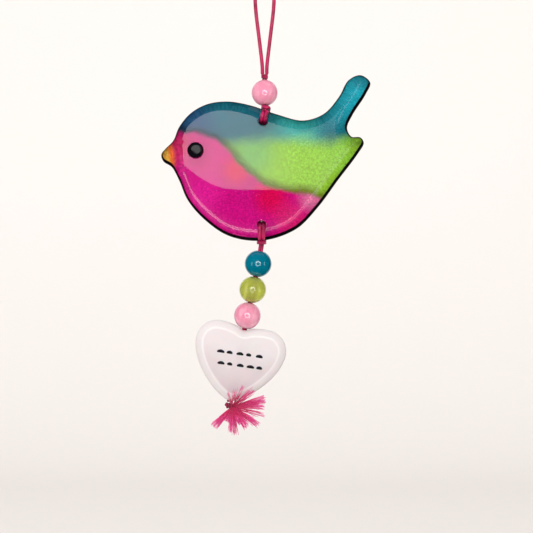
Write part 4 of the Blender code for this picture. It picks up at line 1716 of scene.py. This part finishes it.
@dataclass
class Studio:
    """The camera at the photograph's angle, a pale sweep and soft light."""

    distance: float = 0.55
    focal: float = 96.5
    centre: tuple[float, float] = (0.73 * MM, -107.6 * MM)
    floor: float = -0.30
    wall: float = 1.2
    front: float = -2.6
    top: float = 2.4
    sweep_width: float = 6.4
    sweep_bend: float = 0.5
    behind_lens: float = 0.01
    ambient: float = 0.84
    aim: tuple[float, float, float] = (0.0, 0.0, -0.1)
    softboxes: tuple[Softbox, ...] = (
        Softbox("left_box", (-0.92, -0.67, -0.02), (0.8, 0.6), 1.8),
        Softbox("right_box", (0.92, -0.67, -0.02), (0.8, 0.6), 1.5),
        Softbox("fill_box", (-0.25, -1.7, 0.45), (2.0, 1.4), 33.0),
        Softbox("top_box", (0.0, -0.35, 1.1), (0.9, 0.6), 3.0),
    )
    window: tuple[tuple[float, float], ...] = (
        (0.13, -0.0245), (0.13, 0.16), (-0.125, 0.16), (-0.125, 0.03), (-0.097, 0.008), (-0.08, -0.005),
        (-0.069, -0.0128), (-0.0577, -0.019), (-0.045, -0.0232), (-0.0295, -0.0245),
    )
    sweep: Finish = PaleSweep("Pale paper sweep", "#E8E4E1", 0.9)

    def camera(self) -> None:
        """A level camera that looks along +Y."""
        data = bpy.data.cameras.new("camera")
        data.sensor_width = 36.0
        data.lens = self.focal
        data.clip_start = 0.01
        made = added("camera", data)
        made.location = (self.centre[0], -self.distance, self.centre[1])
        made.rotation_euler = (pi / 2, 0.0, 0.0)
        bpy.context.scene.camera = made

    def backdrop(self) -> None:
        """A floor that turns up into a wall behind the object."""
        shape = bmesh.new()
        profile = ((self.front, self.floor), (self.wall, self.floor), (self.wall, self.top))
        corners = [shape.verts.new((-self.sweep_width / 2, y, z)) for y, z in profile]
        edges = [shape.edges.new(pair) for pair in zip(corners, corners[1:])]
        made = bmesh.ops.extrude_edge_only(shape, edges=edges)["geom"]
        moved = [item for item in made if isinstance(item, bmesh.types.BMVert)]
        bmesh.ops.translate(shape, verts=moved, vec=(self.sweep_width, 0.0, 0.0))
        foot = Vector((self.wall, self.floor))
        crease = [edge for edge in shape.edges if all((end.co.yz - foot).length < WELD for end in edge.verts)]
        bmesh.ops.bevel(
            shape,
            geom=crease,
            offset=self.sweep_bend,
            segments=16,
            profile=0.5,
            affect="EDGES",
            material=-1,
        )
        data = plain_mesh("sweep", shape)
        data.shade_smooth()
        data.materials.append(self.sweep.material())
        sweep = added("sweep", data)
        sweep.visible_glossy = False

    def softbox(self, box: Softbox) -> None:
        """Sets up one softbox, aimed at the object.

        Args:
            box: the softbox.
        """
        data = bpy.data.lights.new(box.name, "AREA")
        data.shape = "RECTANGLE"
        data.size, data.size_y = box.size
        data.energy = box.power
        made = added(box.name, data)
        made.visible_glossy = False
        made.location = box.place
        made.rotation_mode = "QUATERNION"
        made.rotation_quaternion = (Vector(self.aim) - Vector(box.place)).to_track_quat("-Z", "Y")

    def glow(
        self,
        name: str,
        shape: bmesh.types.BMesh,
        strength: float,
        fade: tuple[float, float, float] | None = None,
    ) -> bpy.types.Object:
        """A glowing panel that only gloss sees.

        Args:
            name: its name.
            shape: its bmesh, which is freed.
            strength: its brightness.
            fade: where along X it starts to fade, where it has faded, and the share that is left.

        Returns:
            The panel.
        """
        data = plain_mesh(name, shape)
        material = bpy.data.materials.new(name)
        material.use_nodes = True
        tree = material.node_tree
        tree.nodes.clear()
        emission = add_node(tree, "Emission", {"Strength": strength})
        if fade:
            start, end, left = fade
            across = add_node(tree, "SeparateXYZ", {0: add_node(tree, "TexCoord").outputs["Object"]})
            fading = {0: across, 1: start, 2: end, 3: strength, 4: strength * left}
            dimmed = add_node(tree, "MapRange", fading, interpolation_type="SMOOTHSTEP")
            fill(tree, emission, {"Strength": dimmed})
        add_node(tree, "OutputMaterial", {0: emission})
        data.materials.append(material)
        made = added(name, data)
        made.visible_camera = False
        made.visible_diffuse = False
        return made

    def lens_ring(
        self, radii: tuple[float, float], start: float, sweep: float, lift: float
    ) -> bmesh.types.BMesh:
        """A flat ring round the lens, or an arc of one.

        Args:
            radii: its inner and outer radius.
            start: the angle at which it starts, from +X downwards.
            sweep: the angle that it covers.
            lift: how far its centre is over the lens.

        Returns:
            The bmesh.
        """
        shape = bmesh.new()
        ends = [shape.verts.new((radius, 0.0, 0.0)) for radius in radii]
        bmesh.ops.rotate(shape, verts=ends, matrix=Matrix.Rotation(start, 3, "Y"))
        rod = shape.edges.new(ends)
        whole = sweep > 1.99 * pi
        bmesh.ops.spin(
            shape,
            geom=ends + [rod],
            axis=(0, 1, 0),
            cent=(0, 0, 0),
            steps=48 if whole else 36,
            angle=sweep,
            use_merge=whole,
        )
        place = (self.centre[0], -self.distance - self.behind_lens, self.centre[1] + lift)
        bmesh.ops.translate(shape, verts=shape.verts, vec=place)
        return shape

    def ring_light(self) -> bpy.types.Object:
        """A ring round the lens, which the beads mirror as a thin bright ring."""
        return self.glow("ring_light", self.lens_ring((0.15, 0.235), 0.0, 2 * pi, 0.0), 8.0)

    def low_arc(self) -> bpy.types.Object:
        """Half a ring under the lens, which the bird's lower shoulder mirrors as a bright line."""
        shape = self.lens_ring((0.07, 0.42), radians(-8), radians(184), 0.02)
        return self.glow("low_arc", shape, 3.8, (-0.05, 0.2, 0.3))

    def window_light(self) -> None:
        """A tall panel behind the camera, whose mirror image is the pale veil on the upper glass."""
        shape = bmesh.new()
        face = shape.faces.new([shape.verts.new((x, -1.0, z)) for x, z in self.window])
        face.normal_update()
        self.glow("window_light", shape, 3.2, (-0.02, 0.045, 0.3))

    def panel(
        self, name: str, half_size: float, turn: float, place: tuple[float, float], strength: float
    ) -> bpy.types.Object:
        """An upright square panel at the object's height.

        Args:
            name: its name.
            half_size: half the length of its side.
            turn: how far it is turned round Z from facing the object's front.
            place: where it stands, as (x, y).
            strength: its brightness.

        Returns:
            The panel.
        """
        shape = bmesh.new()
        upright = Matrix.Rotation(pi / 2, 4, "X")
        bmesh.ops.create_grid(shape, x_segments=1, y_segments=1, size=half_size, matrix=upright)
        bmesh.ops.rotate(shape, verts=shape.verts, matrix=Matrix.Rotation(turn, 3, "Z"))
        bmesh.ops.translate(shape, verts=shape.verts, vec=(*place, self.centre[1]))
        return self.glow(name, shape, strength)

    def side_panels(self) -> list[bpy.types.Object]:
        """Two dim panels beside the camera, which the beads mirror as pale patches."""
        sides = (("left_panel", -1), ("right_panel", 1))
        return [self.panel(name, 0.2, -side * radians(54), (side * 0.72, -0.52), 2.2) for name, side in sides]

    def back_panel(self) -> bpy.types.Object:
        """A panel just before the wall, which the beads and the heart mirror round their rims.

        Returns:
            The panel, which neither shades the wall nor shows through the glass.
        """
        made = self.panel("back_panel", 1.1, 0.0, (0.0, self.wall - 0.05), 0.9)
        made.visible_transmission = False
        made.visible_shadow = False
        return made

    def gloss_for(self, pieces: list[bpy.types.Object], lights: list[bpy.types.Object]) -> None:
        """Keeps the light of a few panels to the pieces that mirror them.

        Args:
            pieces: the pieces.
            lights: the panels.
        """
        lit = bpy.data.collections.new(lights[0].name + "_pieces")
        for made in pieces:
            lit.objects.link(made)
        for light in lights:
            light.light_linking.receiver_collection = lit

    def world(self) -> None:
        """Even pale light from all round, which reflections do not see."""
        made = bpy.data.worlds.new("studio")
        made.use_nodes = True
        background = made.node_tree.nodes["Background"]
        background.inputs["Color"].default_value = linear("#FFFDFB")
        background.inputs["Strength"].default_value = self.ambient
        made.cycles_visibility.glossy = False
        bpy.context.scene.world = made

    def build(self) -> None:
        """Makes the camera, the sweep and the lights."""
        self.camera()
        self.backdrop()
        self.world()
        self.window_light()
        for box in self.softboxes:
            self.softbox(box)
        bpy.context.scene.view_settings.view_transform = "Standard"


def on_string(below: float) -> Vector:
    """The place that far down the lower string."""
    return STRING @ Vector((0.0, 0.0, -below))


def main() -> None:
    """Builds the studio, then the suncatcher from its cords down."""
    logging.basicConfig(level=logging.INFO, format="%(name)s: %(message)s")
    studio = Studio()
    studio.build()
    loop = HangingLoop().build()
    top_hole = Vector((TOP_HOLE.x, 0.0, TOP_HOLE.y))
    bottom_hole = Vector((BOTTOM_HOLE.x, 0.0, BOTTOM_HOLE.y))
    upper = HeldCord(
        name="cord_upper",
        node="upper_cord",
        hitch_frame=Matrix.Translation(top_hole) @ Matrix.Rotation(HITCH_LEAN, 4, "Y"),
        rim=4.4542 * MM,
        line_frame=Matrix.Translation(TOP_BEAD),
        near=-4.158 * MM,
        far=4.95 * MM,
    )
    lower = HeldCord(
        name="cord_lower",
        node="lower_cord",
        hitch_frame=Matrix.Translation(bottom_hole) @ Matrix.Rotation(pi, 4, "Y"),
        rim=5.8 * MM,
        line_frame=STRING,
        near=-FIRST_BEAD,
        far=-60.429 * MM,
    )
    pink = BeadGlass(
        "Rose cloudy glass", "#E892AC", 0.08, transmission=0.25, coat=0.8, cloud="#F8C4D2", swirl=0.6
    )
    teal = BeadGlass("Teal cloudy glass", "#006A80", 0.08, transmission=0.2, coat=0.8, cloud="#04869C")
    green = BeadGlass(
        "Lime cloudy glass", "#B6BE50", 0.08, transmission=0.55, coat=0.8, cloud="#CECB78", swirl=0.6
    )
    first, second, third = (on_string(FIRST_BEAD + step * BEAD_STEP) for step in range(3))
    beads = (
        Bead("top_bead_glass", "top_bead", TOP_BEAD, 0.0, pink, Slot.PINK, 10.15 * MM),
        Bead("teal_bead_glass", "teal_bead", first, STRING_LEAN, teal, Slot.TEAL),
        Bead("green_bead_glass", "green_bead", second, STRING_LEAN, green, Slot.GREEN),
        Bead("pink_bead_glass", "pink_bead", third, STRING_LEAN, pink, Slot.PINK),
    )
    glossy = [part.build() for part in (upper, lower, *beads)]
    panels = [studio.ring_light(), *studio.side_panels()]
    studio.gloss_for(glossy + [loop], panels)
    studio.gloss_for([GlassBird().build()], [studio.low_arc()])
    studio.gloss_for(glossy + [FrostedHeart().build()], [studio.back_panel()])
    FrayedEnd().build()


if __name__ == "__main__":
    main()
